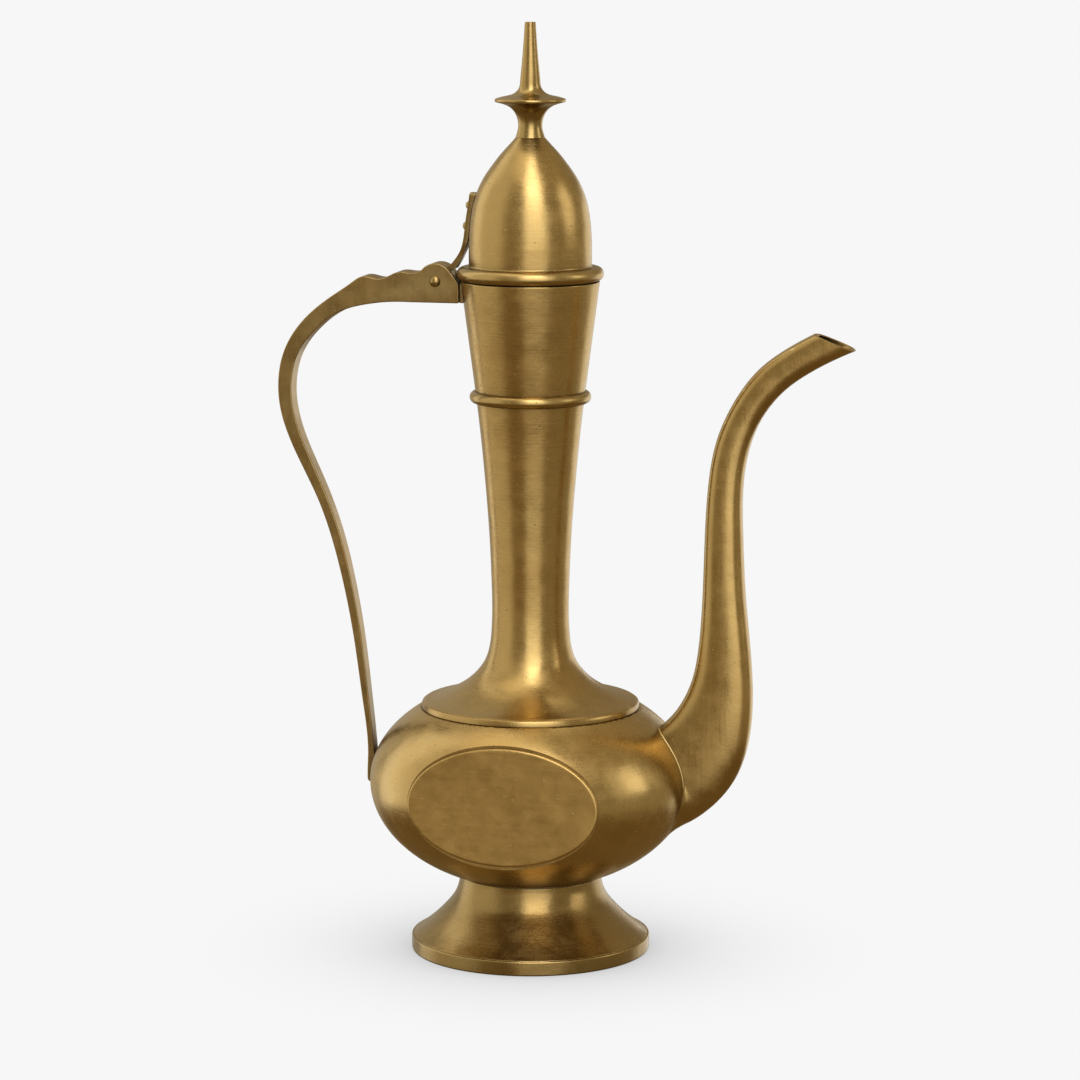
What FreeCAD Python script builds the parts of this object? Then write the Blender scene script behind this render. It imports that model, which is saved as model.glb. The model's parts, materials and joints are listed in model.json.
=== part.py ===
"""Dallah coffee pot: hollow belly on a flared foot, long neck, swan-neck spout, strap handle
and a tall domed lid that hinges back over the handle.

Frame: origin at the centre of the foot's underside, +Z up, +X towards the spout. Millimetres.
"""
import FreeCAD, Part
import math
import os

V = FreeCAD.Vector
ORIGIN = V(0, 0, 0)
Y_AXIS = V(0, 1, 0)
Z_AXIS = V(0, 0, 1)
FAR = 500.0                      # larger than the pot, for half spaces

# ---- driving dimensions -------------------------------------------------------------------
SHEET = 1.6                      # wall of the belly and foot
NECK_WALL = 1.5
SPOUT_WALL = 1.5
DOME_WALL = 1.4
EDGE = 0.4                       # broken edge on rims

FOOT_RADIUS = 51.7
FOOT_BORE = 47.9
FOOT_BAND = 6.3                  # height of the upright band
FOOT_BAND_ROUND = 0.8

BELLY_RADIUS = 69.5
BELLY_LEVEL = 74.6               # height of the widest circle, where the two bowls meet
BELLY_RISE = 43.9                # from the widest circle to the top pole
BELLY_DROP = 46.3                # from the widest circle to the bottom pole
FACET_DEPTH = 56.0               # the flat on each side, measured from the axis

MEDALLION_HALF_WIDTH = 41.0
MEDALLION_HALF_HEIGHT = 25.4
MEDALLION_LEVEL = 74.0
MEDALLION_THICKNESS = 1.2
MEDALLION_ROUND = 0.6

SHOULDER_LEVEL = 106.6           # top rim of the upper bowl, where the neck's skirt sits
SHOULDER_RADIUS = 47.0
SHOULDER_EDGE = 1.6              # upright edge of the neck's skirt
SHOULDER_ROUND = (46.65, 109.1)  # where the edge rolls over into the skirt
BEAD_LEVEL = 241.3
BEAD_RADIUS = 26.0
BEAD_HALF_HEIGHT = 2.55
NECK_JOINT_RADIUS = 23.2         # outer radius where lower and upper neck meet
MOUTH_LEVEL = 290.8
MOUTH_RADIUS = 29.65

LID_LEVEL = 291.0                # underside of the lid ring
LID_RING_RADIUS = 31.3
LID_RING_HEIGHT = 5.9
DOME_RADIUS = 26.2
DOME_TOP = 351.5
DOME_CROWN = 6.3                 # radius of the small flat that carries the finial
COLLAR_DEPTH = 7.0
COLLAR_GAP = 0.5                 # between the collar and the neck's bore

TIP_LEVEL = 400.0
FINIAL_DISC_RADIUS = 14.6
FINIAL_RIM_CROWN = 0.5           # the rim's swell beyond that radius
STUD_RADIUS = 2.0
STUD_CLEARANCE = 0.1
STUD_LENGTH = 9.0
ROVE_RADIUS = 5.0
ROVE_THICKNESS = 1.0
NUT_ACROSS_FLATS = 7.0
NUT_HEIGHT = 3.2

PIN_X = -40.2
PIN_Z = 290.3
PIN_RADIUS = 1.5
PIN_RUNNING_CLEARANCE = 0.06     # radial, in the knuckle
PIN_HEAD_RADIUS = 2.4
PIN_HEAD_HEIGHT = 1.3

HANDLE_HALF_WIDTH = 6.45         # at the hinge
HUMP_RADIUS = 7.7
HUMP_FROM = 143.0                # the hump's arc round the pin, degrees from +X
HUMP_TO = 31.0
KNUCKLE_RADIUS = 7.6
KNUCKLE_HALF_WIDTH = 2.5
SLOT_HALF_WIDTH = 2.65
SLOT_RADIUS = 8.2
EAR_FRONT = -29.9
EAR_BOTTOM = 281.1
SLOT_FLOOR_FRONT = 288.0
HUMP_SHOULDER = (-31.9, 292.2)   # the ear's front, from the hump down to the neck
EAR_BROW = (-30.2, 289.5)
EAR_CORNER = 0.8
LUG_HALF_WIDTH = 4.8
LUG_TOP = 289.3

STRAP_HALF_WIDTH = 3.4           # where the lid strap lies on the dome
STRAP_TOP = 328.0
STRAP_CORNER = 1.2               # radius of the two corners at its upper end
RIVET_RADIUS = 1.0
RIVET_HEAD_RADIUS = 1.9
RIVET_HEAD_HEIGHT = 1.6
RIVET_TAIL_HEIGHT = 1.2
RIVET_TAIL_DEPTH = 3.2           # from the strap's face to the tail's foot
RIVET_SEAT = 0.2                 # head and shank reach into each other by this
RIVET_LENGTH = 4.2
RIVET_PLACES = ((-27.85, 313.8, 6.0), (-26.5, 322.6, 11.0))   # x and z on the strap, tilt in degrees

# ---- outlines (radius or x, then z) ---------------------------------------------------------
FOOT_FLARE = ((51.0, FOOT_BAND), (47.5, 8.7), (42.5, 12.8), (37.5, 17.8), (33.5, 22.8), (31.3, 28.0),
              (31.0, 34.5))

NECK_LOWER = ((45.6, 109.8), (42.0, 110.6), (37.0, 112.4), (31.0, 115.4), (26.0, 119.0), (22.4, 122.7),
              (19.65, 126.8), (17.75, 132.5), (16.75, 141.0), (16.5, 150.0), (16.8, 163.0),
              (17.6, 181.0), (19.1, 201.5), (20.9, 221.0), (NECK_JOINT_RADIUS, BEAD_LEVEL))

DOME = ((26.2, 306.0), (26.05, 309.6), (25.7, 314.7), (25.0, 320.0), (23.9, 325.0), (22.1, 330.0),
        (19.55, 335.0), (16.1, 340.0), (12.0, 345.2), (8.6, 348.9), (DOME_CROWN, DOME_TOP))

FINIAL_STEM = ((DOME_CROWN, DOME_TOP), (5.5, 354.0), (5.1, 356.7), (5.4, 359.0), (6.6, 362.0),
               (8.9, 364.4), (12.2, 365.8), (FINIAL_DISC_RADIUS, 366.4))
FINIAL_SPIRE = ((FINIAL_DISC_RADIUS, 367.9), (11.5, 368.8), (6.8, 370.2), (4.9, 372.2), (4.25, 375.6),
                (3.75, 381.0), (3.05, 389.0), (2.3, TIP_LEVEL))

# The spout as a row of oval sections: a point on its upper line, one on its lower line, half width.
# Each section is fuller than a plain oval, with flatter sides: a fullness of 0.55 would be the plain one.
SPOUT_FULLNESS = 0.74
SPOUT_SECTIONS = (
    ((46.0, 93.0), (50.5, 52.5), 9.8),
    ((60.0, 102.8), (74.3, 61.3), 9.4),
    ((66.9, 111.9), (89.5, 77.8), 9.0),
    ((70.8, 120.8), (95.4, 94.5), 8.7),
    ((73.0, 130.5), (97.0, 111.0), 8.5),
    ((74.5, 144.0), (96.1, 131.5), 8.3),
    ((75.5, 163.0), (93.6, 158.0), 8.1),
    ((76.2, 186.0), (92.2, 185.5), 7.8),
    ((77.7, 208.0), (92.2, 205.0), 7.5),
    ((81.2, 225.8), (94.6, 220.7), 7.2),
    ((88.3, 241.6), (99.8, 233.9), 7.0),
    ((99.5, 256.2), (108.8, 245.7), 6.9),
    ((112.9, 265.9), (119.1, 253.6), 6.8),
    ((134.5, 276.3), (140.3, 264.4), 6.7),
)
MOUTH_TOP = (122.6, 270.6)       # the oblique cut across the spout's end
MOUTH_TIP = (139.5, 264.0)
MOUTH_CUT_REACH = 40.0           # how far the cut goes beyond the mouth
ROOT_COLLAR_PROUD = 1.2          # height of the collar above the belly
ROOT_COLLAR_SIDE = 0.9           # thickness at the sides
ROOT_COLLAR_UPPER = 1.0
ROOT_COLLAR_LOWER = 0.4

# The handle's outer line from its foot to the first scallop, the scallops, then its inner line.
HANDLE_OUTER = ((-71.9, 82.3), (-74.1, 106.7), (-77.7, 133.2), (-84.4, 166.9), (-93.2, 194.4),
                (-104.6, 218.4), (-109.6, 233.5), (-110.4, 246.0), (-107.7, 258.7), (-98.5, 272.8),
                (-85.1, 283.7), (-77.0, 289.2), (-72.2, 291.9))
HANDLE_SCALLOPS = ((-67.8, 291.4), (-64.5, 290.9), (-60.8, 292.2), (-56.7, 294.0), (-52.5, 293.9),
                   (-49.4, 293.8))
HANDLE_INNER = ((-52.0, 281.2), (-62.0, 281.0), (-71.0, 279.8), (-82.6, 276.4), (-93.8, 268.1),
                (-101.0, 258.5), (-104.1, 248.5), (-104.3, 237.0), (-101.4, 224.5), (-92.2, 202.8),
                (-84.2, 181.5), (-78.5, 158.5), (-74.3, 134.0), (-71.3, 108.0), (-69.3, 88.0),
                (-68.6, 78.0))
HANDLE_FOOT = ((-72.1, 77.8), (-72.2, 72.6))
HANDLE_TOE = (-71.2, 70.6)
TOE_BULGE = 0.3
HANDLE_TAPER = ((3.5, 60.0), (3.7, 110.0), (3.9, 160.0), (4.2, 205.0), (4.7, 242.0), (5.5, 264.0),
                (HANDLE_HALF_WIDTH, 284.0))

# The lid strap's two faces, from the knuckle up to the dome.
STRAP_INNER = ((-31.8, 295.8), (-29.2, 300.4), (-27.6, 304.0), (-26.5, 307.6), (-25.9, 312.0),
               (-25.3, 317.5), (-24.3, 323.0), (-22.8, STRAP_TOP))
STRAP_OUTER = ((-25.8, STRAP_TOP), (-26.5, 322.9), (-27.4, 317.4), (-28.1, 312.0), (-28.6, 308.2),
               (-29.7, 304.3), (-31.6, 300.8), (-34.4, 297.3))
STRAP_NARROW_BELOW = 301.0
STRAP_WIDE_ABOVE = 307.5


# ---- helpers ----------------------------------------------------------------------------------
def xz(point):
    """Place a (radius or x, z) pair in the XZ plane."""
    return V(point[0], 0, point[1])


def yz(point):
    """Place a (y, z) pair in the YZ plane."""
    return V(0, point[0], point[1])


def spline(points):
    curve = Part.BSplineCurve()
    curve.interpolate(points)
    return curve


def line(start, end):
    return Part.LineSegment(start, end).toShape()


def arc(start, middle, end):
    return Part.Arc(start, middle, end).toShape()


def face_of(edges):
    return Part.Face(Part.Wire(Part.__sortEdges__(edges)))


def turned(edges):
    """Solid of revolution about the pot's axis."""
    return face_of(edges).revolve(ORIGIN, Z_AXIS, 360)


def in_quarters(edges):
    """Solid of revolution in four gores that meet at 45 degrees to the spout's plane."""
    profile = face_of(edges)
    profile.rotate(ORIGIN, Z_AXIS, 45)
    gores = []
    for step in range(4):
        gores.append(profile.revolve(ORIGIN, Z_AXIS, 90))
        profile = profile.copy()
        profile.rotate(ORIGIN, Z_AXIS, 90)
    return gores[0].fuse(gores[1:])


def turned_polygon(points):
    corners = [xz(point) for point in points]
    return Part.Face(Part.makePolygon(corners + corners[:1])).revolve(ORIGIN, Z_AXIS, 360)


def inset(points, wall):
    """Points of an upward profile moved towards the inside of the sheet by its wall."""
    corners = [xz(point) for point in points]
    curve = spline(corners)
    moved = []
    for corner in corners:
        tangent = curve.tangent(curve.parameter(corner))[0]
        moved.append(corner - V(tangent.z, 0, -tangent.x) * wall)
    return moved


def slab(z_low, z_high):
    return Part.makeBox(FAR, FAR, z_high - z_low, V(-FAR / 2, -FAR / 2, z_low))


def through_y(edges, half_width):
    """Prism of an XZ outline, centred on the XZ plane."""
    face = face_of(edges)
    face.translate(V(0, -half_width, 0))
    return face.extrude(V(0, 2 * half_width, 0))


def y_cylinder(radius, x, z, half_length):
    return Part.makeCylinder(radius, 2 * half_length, V(x, -half_length, z), Y_AXIS)


def domed_head(radius, height, centre, direction):
    """Spherical cap that stands on centre and points along direction."""
    ball = (radius ** 2 + height ** 2) / (2 * height)
    cap = Part.makeSphere(ball, V(0, 0, height - ball))
    cap = cap.common(Part.makeBox(4 * ball, 4 * ball, 2 * ball, V(-2 * ball, -2 * ball, 0)))
    cap.Placement = FreeCAD.Placement(centre, FreeCAD.Rotation(Z_AXIS, direction))
    return cap


def on_hump(angle):
    """Point of the hump's circle round the hinge pin, angle in degrees from +X."""
    turn = math.radians(angle)
    return V(PIN_X + HUMP_RADIUS * math.cos(turn), 0, PIN_Z + HUMP_RADIUS * math.sin(turn))


# ---- foot and belly -----------------------------------------------------------------------------
def foot_base_ring():
    shoulder = FOOT_RADIUS - FOOT_BAND_ROUND
    drop = FOOT_BAND_ROUND * (1 - math.sqrt(0.5))
    return turned([
        line(xz((FOOT_BORE, 0)), xz((FOOT_RADIUS - EDGE, 0))),
        line(xz((FOOT_RADIUS - EDGE, 0)), xz((FOOT_RADIUS, EDGE))),
        line(xz((FOOT_RADIUS, EDGE)), xz((FOOT_RADIUS, FOOT_BAND - FOOT_BAND_ROUND))),
        arc(xz((FOOT_RADIUS, FOOT_BAND - FOOT_BAND_ROUND)), xz((FOOT_RADIUS - drop, FOOT_BAND - drop)),
            xz((shoulder, FOOT_BAND))),
        line(xz((shoulder, FOOT_BAND)), xz((FOOT_BORE, FOOT_BAND))),
        line(xz((FOOT_BORE, FOOT_BAND)), xz((FOOT_BORE, 0))),
    ])


def foot_skirt(base_ring, belly):
    outer = [xz(point) for point in FOOT_FLARE]
    inner = inset(FOOT_FLARE, SHEET)
    skirt = turned([spline(outer).toShape(), line(outer[-1], inner[-1]),
                    spline(inner).toShape(), line(inner[0], outer[0])])
    return skirt.cut(base_ring).cut(belly)


def belly_form(wall):
    """The belly as a filled form, drawn in by wall all over: two half ellipsoids and two flats."""
    centre = xz((0, BELLY_LEVEL))
    side = xz((BELLY_RADIUS - wall, BELLY_LEVEL))
    top = xz((0, BELLY_LEVEL + BELLY_RISE - wall))
    bottom = xz((0, BELLY_LEVEL - BELLY_DROP + wall))
    upper = Part.ArcOfEllipse(Part.Ellipse(side, top, centre), 0, math.pi / 2).toShape()
    lower = Part.ArcOfEllipse(Part.Ellipse(side, bottom, centre), 0, math.pi / 2).toShape()
    depth = FACET_DEPTH - wall
    between_flats = Part.makeBox(FAR, 2 * depth, FAR, V(-FAR / 2, -depth, -FAR / 2))
    return in_quarters([upper, lower, line(top, bottom)]).common(between_flats)


def belly_bowls(belly, passage):
    shell = belly.cut(belly_form(SHEET))
    lower = shell.common(slab(0, BELLY_LEVEL)).cut(passage)
    upper = shell.common(slab(BELLY_LEVEL, SHOULDER_LEVEL)).cut(passage)
    return lower, upper


def medallion(side):
    """Oval plate on one flat of the belly; side is -1 or +1 along Y."""
    inner_y = side * FACET_DEPTH
    ellipse = Part.Ellipse(V(MEDALLION_HALF_WIDTH, inner_y, MEDALLION_LEVEL),
                           V(0, inner_y, MEDALLION_LEVEL + MEDALLION_HALF_HEIGHT),
                           V(0, inner_y, MEDALLION_LEVEL))
    plate = face_of([ellipse.toShape()]).extrude(V(0, side * MEDALLION_THICKNESS, 0))
    outer_y = inner_y + side * MEDALLION_THICKNESS
    rim = [edge for edge in plate.Edges if abs(edge.CenterOfMass.y - outer_y) < 0.01]
    return plate.makeFillet(MEDALLION_ROUND, rim)


# ---- neck -----------------------------------------------------------------------------------------
def neck_lower():
    outer = [xz(point) for point in NECK_LOWER]
    inner = inset(NECK_LOWER, NECK_WALL)
    inner[-1] = xz((NECK_JOINT_RADIUS - NECK_WALL, BEAD_LEVEL))
    rim_low = xz((SHOULDER_RADIUS, SHOULDER_LEVEL))
    rim_high = xz((SHOULDER_RADIUS, SHOULDER_LEVEL + SHOULDER_EDGE))
    rim_round = xz(SHOULDER_ROUND)
    seat = V(inner[0].x, 0, SHOULDER_LEVEL)
    return turned([
        line(rim_low, rim_high),
        arc(rim_high, rim_round, outer[0]),
        spline(outer).toShape(),
        line(outer[-1], inner[-1]),
        spline(inner).toShape(),
        line(inner[0], seat),
        line(seat, rim_low),
    ])


def neck_upper():
    slope = (MOUTH_RADIUS - NECK_JOINT_RADIUS) / (MOUTH_LEVEL - BEAD_LEVEL)
    return turned_polygon([
        (NECK_JOINT_RADIUS, BEAD_LEVEL),
        (MOUTH_RADIUS - slope * EDGE, MOUTH_LEVEL - EDGE),
        (MOUTH_RADIUS - EDGE, MOUTH_LEVEL),
        (MOUTH_RADIUS - NECK_WALL, MOUTH_LEVEL),
        (NECK_JOINT_RADIUS - NECK_WALL, BEAD_LEVEL),
    ])


def neck_bead(lower, upper):
    low = xz((NECK_JOINT_RADIUS - 0.7, BEAD_LEVEL - BEAD_HALF_HEIGHT))
    high = xz((NECK_JOINT_RADIUS - 0.1, BEAD_LEVEL + BEAD_HALF_HEIGHT))
    ring = turned([arc(low, xz((BEAD_RADIUS, BEAD_LEVEL)), high), line(high, low)])
    return ring.cut(lower).cut(upper)


# ---- spout ----------------------------------------------------------------------------------------
def spout_stations(sections, grow_upper, grow_lower, grow_side):
    """Each oval section as its centre, its half height vector and its half width vector."""
    stations = []
    for upper, lower, half_width in sections:
        along = (xz(upper) - xz(lower)).normalize()
        top = xz(upper) + along * grow_upper
        bottom = xz(lower) - along * grow_lower
        stations.append(((top + bottom) * 0.5, (top - bottom) * 0.5, Y_AXIS * (half_width + grow_side)))
    return stations


def quarter_poles(station, up, across):
    """Four control points of a quarter oval, from its top or bottom to its side."""
    centre, half_height, half_width = station
    pole = centre + half_height * up
    side = centre + half_width * across
    return [pole, pole + (side - centre) * SPOUT_FULLNESS, side + (pole - centre) * SPOUT_FULLNESS, side]


def quarter_skin(stations, distances, up, across):
    """Smooth surface through one quarter of every oval section."""
    rows = zip(*[quarter_poles(station, up, across) for station in stations])
    net = []
    for row in rows:
        curve = Part.BSplineCurve()
        curve.interpolate(Points=list(row), Parameters=distances)
        net.append(curve.getPoles())
    surface = Part.BSplineSurface()
    surface.buildFromPolesMultsKnots(net, [4, 4], curve.getMultiplicities(), [0, 1], curve.getKnots(),
                                     False, False, 3, curve.Degree)
    return surface.toShape()


def oval_cap(station, quarters):
    edges = []
    for up, across in quarters:
        curve = Part.BezierCurve()
        curve.setPoles(quarter_poles(station, up, across))
        edges.append(curve.toShape())
    return face_of(edges)


def spout_form(sections, grow_upper, grow_lower, grow_side):
    """Solid through the oval sections, made larger or smaller at its top, bottom and sides."""
    stations = spout_stations(sections, grow_upper, grow_lower, grow_side)
    distances = [0.0]
    for before, after in zip(stations, stations[1:]):
        distances.append(distances[-1] + (after[0] - before[0]).Length)
    quarters = [(up, across) for up in (1, -1) for across in (1, -1)]
    faces = [quarter_skin(stations, distances, up, across) for up, across in quarters]
    faces.append(oval_cap(stations[0], quarters))
    faces.append(oval_cap(stations[-1], quarters))
    shell = Part.makeShell(faces)
    shell.sewShape()
    form = Part.makeSolid(shell)
    if form.Volume < 0:
        form.reverse()
    return form


def beyond_mouth():
    """Everything above the oblique cut at the spout's end."""
    top = xz(MOUTH_TOP)
    tip = xz(MOUTH_TIP)
    along = (tip - top).normalize()
    outward = V(-along.z, 0, along.x)
    start = top - along * MOUTH_CUT_REACH
    end = tip + along * MOUTH_CUT_REACH
    corners = [start, end, end + outward * MOUTH_CUT_REACH, start + outward * MOUTH_CUT_REACH]
    edges = [line(corners[i], corners[(i + 1) % 4]) for i in range(4)]
    return through_y(edges, MOUTH_CUT_REACH)


def spout(belly, passage):
    form = spout_form(SPOUT_SECTIONS, 0, 0, 0)
    return form.cut(passage).cut(belly).cut(beyond_mouth())


def spout_root_collar(belly):
    """Raised lip round the spout's root, on the belly's surface."""
    root = SPOUT_SECTIONS[:4]
    ring = spout_form(root, ROOT_COLLAR_UPPER, ROOT_COLLAR_LOWER, ROOT_COLLAR_SIDE)
    ring = ring.common(belly_form(-ROOT_COLLAR_PROUD))
    return ring.cut(spout_form(SPOUT_SECTIONS, 0, 0, 0)).cut(belly)


# ---- handle ---------------------------------------------------------------------------------------
def handle_outline():
    outer = [xz(point) for point in HANDLE_OUTER + HANDLE_SCALLOPS]
    inner = [xz(point) for point in HANDLE_INNER]
    foot = [xz(point) for point in HANDLE_FOOT]
    toe = xz(HANDLE_TOE)
    hump_back = on_hump(HUMP_FROM)
    hump_front = on_hump(HUMP_TO)
    brow = xz(EAR_BROW)
    cheek = xz((EAR_FRONT, SLOT_FLOOR_FRONT))
    chin = xz((EAR_FRONT, EAR_BOTTOM + EAR_CORNER))
    jaw = xz((EAR_FRONT - EAR_CORNER, EAR_BOTTOM))
    pull = EAR_CORNER * (1 - math.sqrt(0.5))
    corner = xz((EAR_FRONT - pull, EAR_BOTTOM + pull))
    inside_belly = V(HANDLE_INNER[-1][0], 0, HANDLE_TOE[1])
    return [
        spline(outer + [hump_back]).toShape(),
        arc(hump_back, on_hump((HUMP_FROM + HUMP_TO) / 2), hump_front),
        spline([hump_front, xz(HUMP_SHOULDER), brow, cheek]).toShape(),
        line(cheek, chin),
        arc(chin, corner, jaw),
        line(jaw, inner[0]),
        spline(inner).toShape(),
        line(inner[-1], inside_belly),
        line(inside_belly, toe),
        arc(toe, (toe + foot[1]) * 0.5 - V(TOE_BULGE, 0, TOE_BULGE), foot[1]),
        spline([foot[1], foot[0], outer[0]]).toShape(),
    ]


def handle_taper():
    """The handle seen from behind: narrow at the belly, wide at the hinge."""
    right = [yz(point) for point in HANDLE_TAPER]
    left = [V(0, -point.y, point.z) for point in right]
    top = PIN_Z + 2 * HUMP_RADIUS
    right_top = V(0, HANDLE_HALF_WIDTH, top)
    left_top = V(0, -HANDLE_HALF_WIDTH, top)
    face = face_of([spline(right).toShape(), line(right[-1], right_top), line(right_top, left_top),
                    line(left_top, left[-1]), spline(left).toShape(), line(left[0], right[0])])
    face.translate(V(-FAR / 2, 0, 0))
    return face.extrude(V(FAR, 0, 0))


def hinge_slot():
    pocket = y_cylinder(SLOT_RADIUS, PIN_X, PIN_Z, SLOT_HALF_WIDTH)
    front = Part.makeBox(20, 2 * SLOT_HALF_WIDTH, 20, V(PIN_X, -SLOT_HALF_WIDTH, SLOT_FLOOR_FRONT))
    return pocket.fuse(front)


def handle(belly):
    strap = through_y(handle_outline(), HANDLE_HALF_WIDTH).common(handle_taper())
    strap = strap.cut(hinge_slot())
    strap = strap.cut(y_cylinder(PIN_RADIUS, PIN_X, PIN_Z, HANDLE_HALF_WIDTH + 1))
    return strap.cut(belly)


def neck_lug(lower, upper):
    """Saddle that carries the handle's hinge end on the neck."""
    corner = V(EAR_FRONT, -LUG_HALF_WIDTH, EAR_BOTTOM)
    reach = -EAR_FRONT - NECK_JOINT_RADIUS
    block = Part.makeBox(reach, 2 * LUG_HALF_WIDTH, LUG_TOP - EAR_BOTTOM, corner)
    bore = turned_polygon([
        (0, BEAD_LEVEL),
        (NECK_JOINT_RADIUS, BEAD_LEVEL),
        (MOUTH_RADIUS, MOUTH_LEVEL),
        (0, MOUTH_LEVEL),
    ])
    return block.cut(bore).cut(lower).cut(upper)


def hinge_pin():
    pin = y_cylinder(PIN_RADIUS, PIN_X, PIN_Z, HANDLE_HALF_WIDTH)
    for side in (-1, 1):
        centre = V(PIN_X, side * HANDLE_HALF_WIDTH, PIN_Z)
        pin = pin.fuse(domed_head(PIN_HEAD_RADIUS, PIN_HEAD_HEIGHT, centre, V(0, side, 0)))
    return pin


# ---- lid ------------------------------------------------------------------------------------------
def lid_dome():
    base = xz((DOME_RADIUS, LID_LEVEL))
    outer = [xz(point) for point in DOME]
    inner = inset(DOME[:-1], DOME_WALL)
    inner_base = xz((DOME_RADIUS - DOME_WALL, LID_LEVEL))
    bore = STUD_RADIUS + STUD_CLEARANCE
    crown_low = V(bore, 0, inner[-1].z)
    crown_high = V(bore, 0, DOME_TOP)
    return turned([
        line(base, outer[0]),
        spline(outer).toShape(),
        line(outer[-1], crown_high),
        line(crown_high, crown_low),
        line(crown_low, inner[-1]),
        spline(inner).toShape(),
        line(inner[0], inner_base),
        line(inner_base, base),
    ])


def lid_ring():
    """Rolled ring round the dome's foot, closing on the neck's mouth."""
    half = LID_RING_HEIGHT / 2
    centre_r = LID_RING_RADIUS - half
    low = xz((centre_r, LID_LEVEL))
    high = xz((centre_r, LID_LEVEL + LID_RING_HEIGHT))
    step_out = xz((DOME_RADIUS + 0.8, LID_LEVEL + LID_RING_HEIGHT))
    step_up = xz((DOME_RADIUS, LID_LEVEL + LID_RING_HEIGHT + 0.8))
    step_mid = xz((DOME_RADIUS + 0.23, LID_LEVEL + LID_RING_HEIGHT + 0.23))
    bore = xz((DOME_RADIUS, LID_LEVEL))
    return turned([
        line(bore, low),
        arc(low, xz((LID_RING_RADIUS, LID_LEVEL + half)), high),
        line(high, step_out),
        arc(step_out, step_mid, step_up),
        line(step_up, bore),
    ])


def lid_inner_collar():
    """Tapered sleeve that drops into the neck and centres the lid."""
    slope = (MOUTH_RADIUS - NECK_JOINT_RADIUS) / (MOUTH_LEVEL - BEAD_LEVEL)
    top = MOUTH_RADIUS - NECK_WALL - COLLAR_GAP
    foot = top - slope * COLLAR_DEPTH
    bore = DOME_RADIUS - DOME_WALL
    return turned_polygon([
        (top, LID_LEVEL),
        (foot, LID_LEVEL - COLLAR_DEPTH),
        (foot - 1.2, LID_LEVEL - COLLAR_DEPTH),
        (top - 1.6, LID_LEVEL - 1.8),
        (bore, LID_LEVEL - 1.0),
        (bore, LID_LEVEL),
    ])


def finial():
    stem = [xz(point) for point in FINIAL_STEM]
    spire = [xz(point) for point in FINIAL_SPIRE]
    rim = xz((FINIAL_DISC_RADIUS + FINIAL_RIM_CROWN, (FINIAL_STEM[-1][1] + FINIAL_SPIRE[0][1]) / 2))
    stud_low = DOME_TOP - STUD_LENGTH
    return turned([
        line(xz((0, stud_low)), xz((STUD_RADIUS, stud_low))),
        line(xz((STUD_RADIUS, stud_low)), xz((STUD_RADIUS, DOME_TOP))),
        line(xz((STUD_RADIUS, DOME_TOP)), stem[0]),
        spline(stem).toShape(),
        arc(stem[-1], rim, spire[0]),
        spline(spire).toShape(),
        line(spire[-1], xz((0, TIP_LEVEL))),
        line(xz((0, TIP_LEVEL)), xz((0, stud_low))),
    ])


def crown_underside():
    return inset(DOME[:-1], DOME_WALL)[-1].z


def finial_rove():
    low = crown_underside() - ROVE_THICKNESS
    bore = STUD_RADIUS + STUD_CLEARANCE
    return turned_polygon([(bore, low), (ROVE_RADIUS, low), (ROVE_RADIUS, low + ROVE_THICKNESS),
                           (bore, low + ROVE_THICKNESS)])


def finial_nut():
    low = crown_underside() - ROVE_THICKNESS - NUT_HEIGHT
    reach = NUT_ACROSS_FLATS / 2 / math.cos(math.radians(30))
    corners = []
    for step in range(7):
        turn = math.radians(60 * step)
        corners.append(V(reach * math.cos(turn), reach * math.sin(turn), low))
    prism = Part.Face(Part.makePolygon(corners)).extrude(V(0, 0, NUT_HEIGHT))
    return prism.cut(Part.makeCylinder(STUD_RADIUS, NUT_HEIGHT, V(0, 0, low)))


def rivet_axes():
    """Each strap rivet's seat on the strap and its outward direction."""
    axes = []
    for x, z, tilt in RIVET_PLACES:
        turn = math.radians(tilt)
        axes.append((V(x, 0, z), V(-math.cos(turn), 0, math.sin(turn))))
    return axes


def rivet_shank(seat, outward, length):
    return Part.makeCylinder(RIVET_RADIUS, length, seat - outward * length, outward)


def strap_leaf():
    """The lid strap seen from behind: narrow between the ears, wider on the dome."""
    below_knuckle = PIN_Z - 2 * KNUCKLE_RADIUS
    pull = STRAP_CORNER * (1 - math.sqrt(0.5))
    right = [yz((KNUCKLE_HALF_WIDTH, below_knuckle)), yz((KNUCKLE_HALF_WIDTH, STRAP_NARROW_BELOW)),
             yz((STRAP_HALF_WIDTH, STRAP_WIDE_ABOVE)), yz((STRAP_HALF_WIDTH, STRAP_TOP - STRAP_CORNER)),
             yz((STRAP_HALF_WIDTH - pull, STRAP_TOP - pull)),
             yz((STRAP_HALF_WIDTH - STRAP_CORNER, STRAP_TOP))]
    left = [V(0, -point.y, point.z) for point in right]
    edges = [line(left[0], right[0]), line(left[-1], right[-1])]
    for side in (left, right):
        edges += [line(side[i], side[i + 1]) for i in range(3)]
        edges.append(arc(side[3], side[4], side[5]))
    face = face_of(edges)
    face.translate(V(-FAR / 2, 0, 0))
    return face.extrude(V(FAR, 0, 0))


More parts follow.
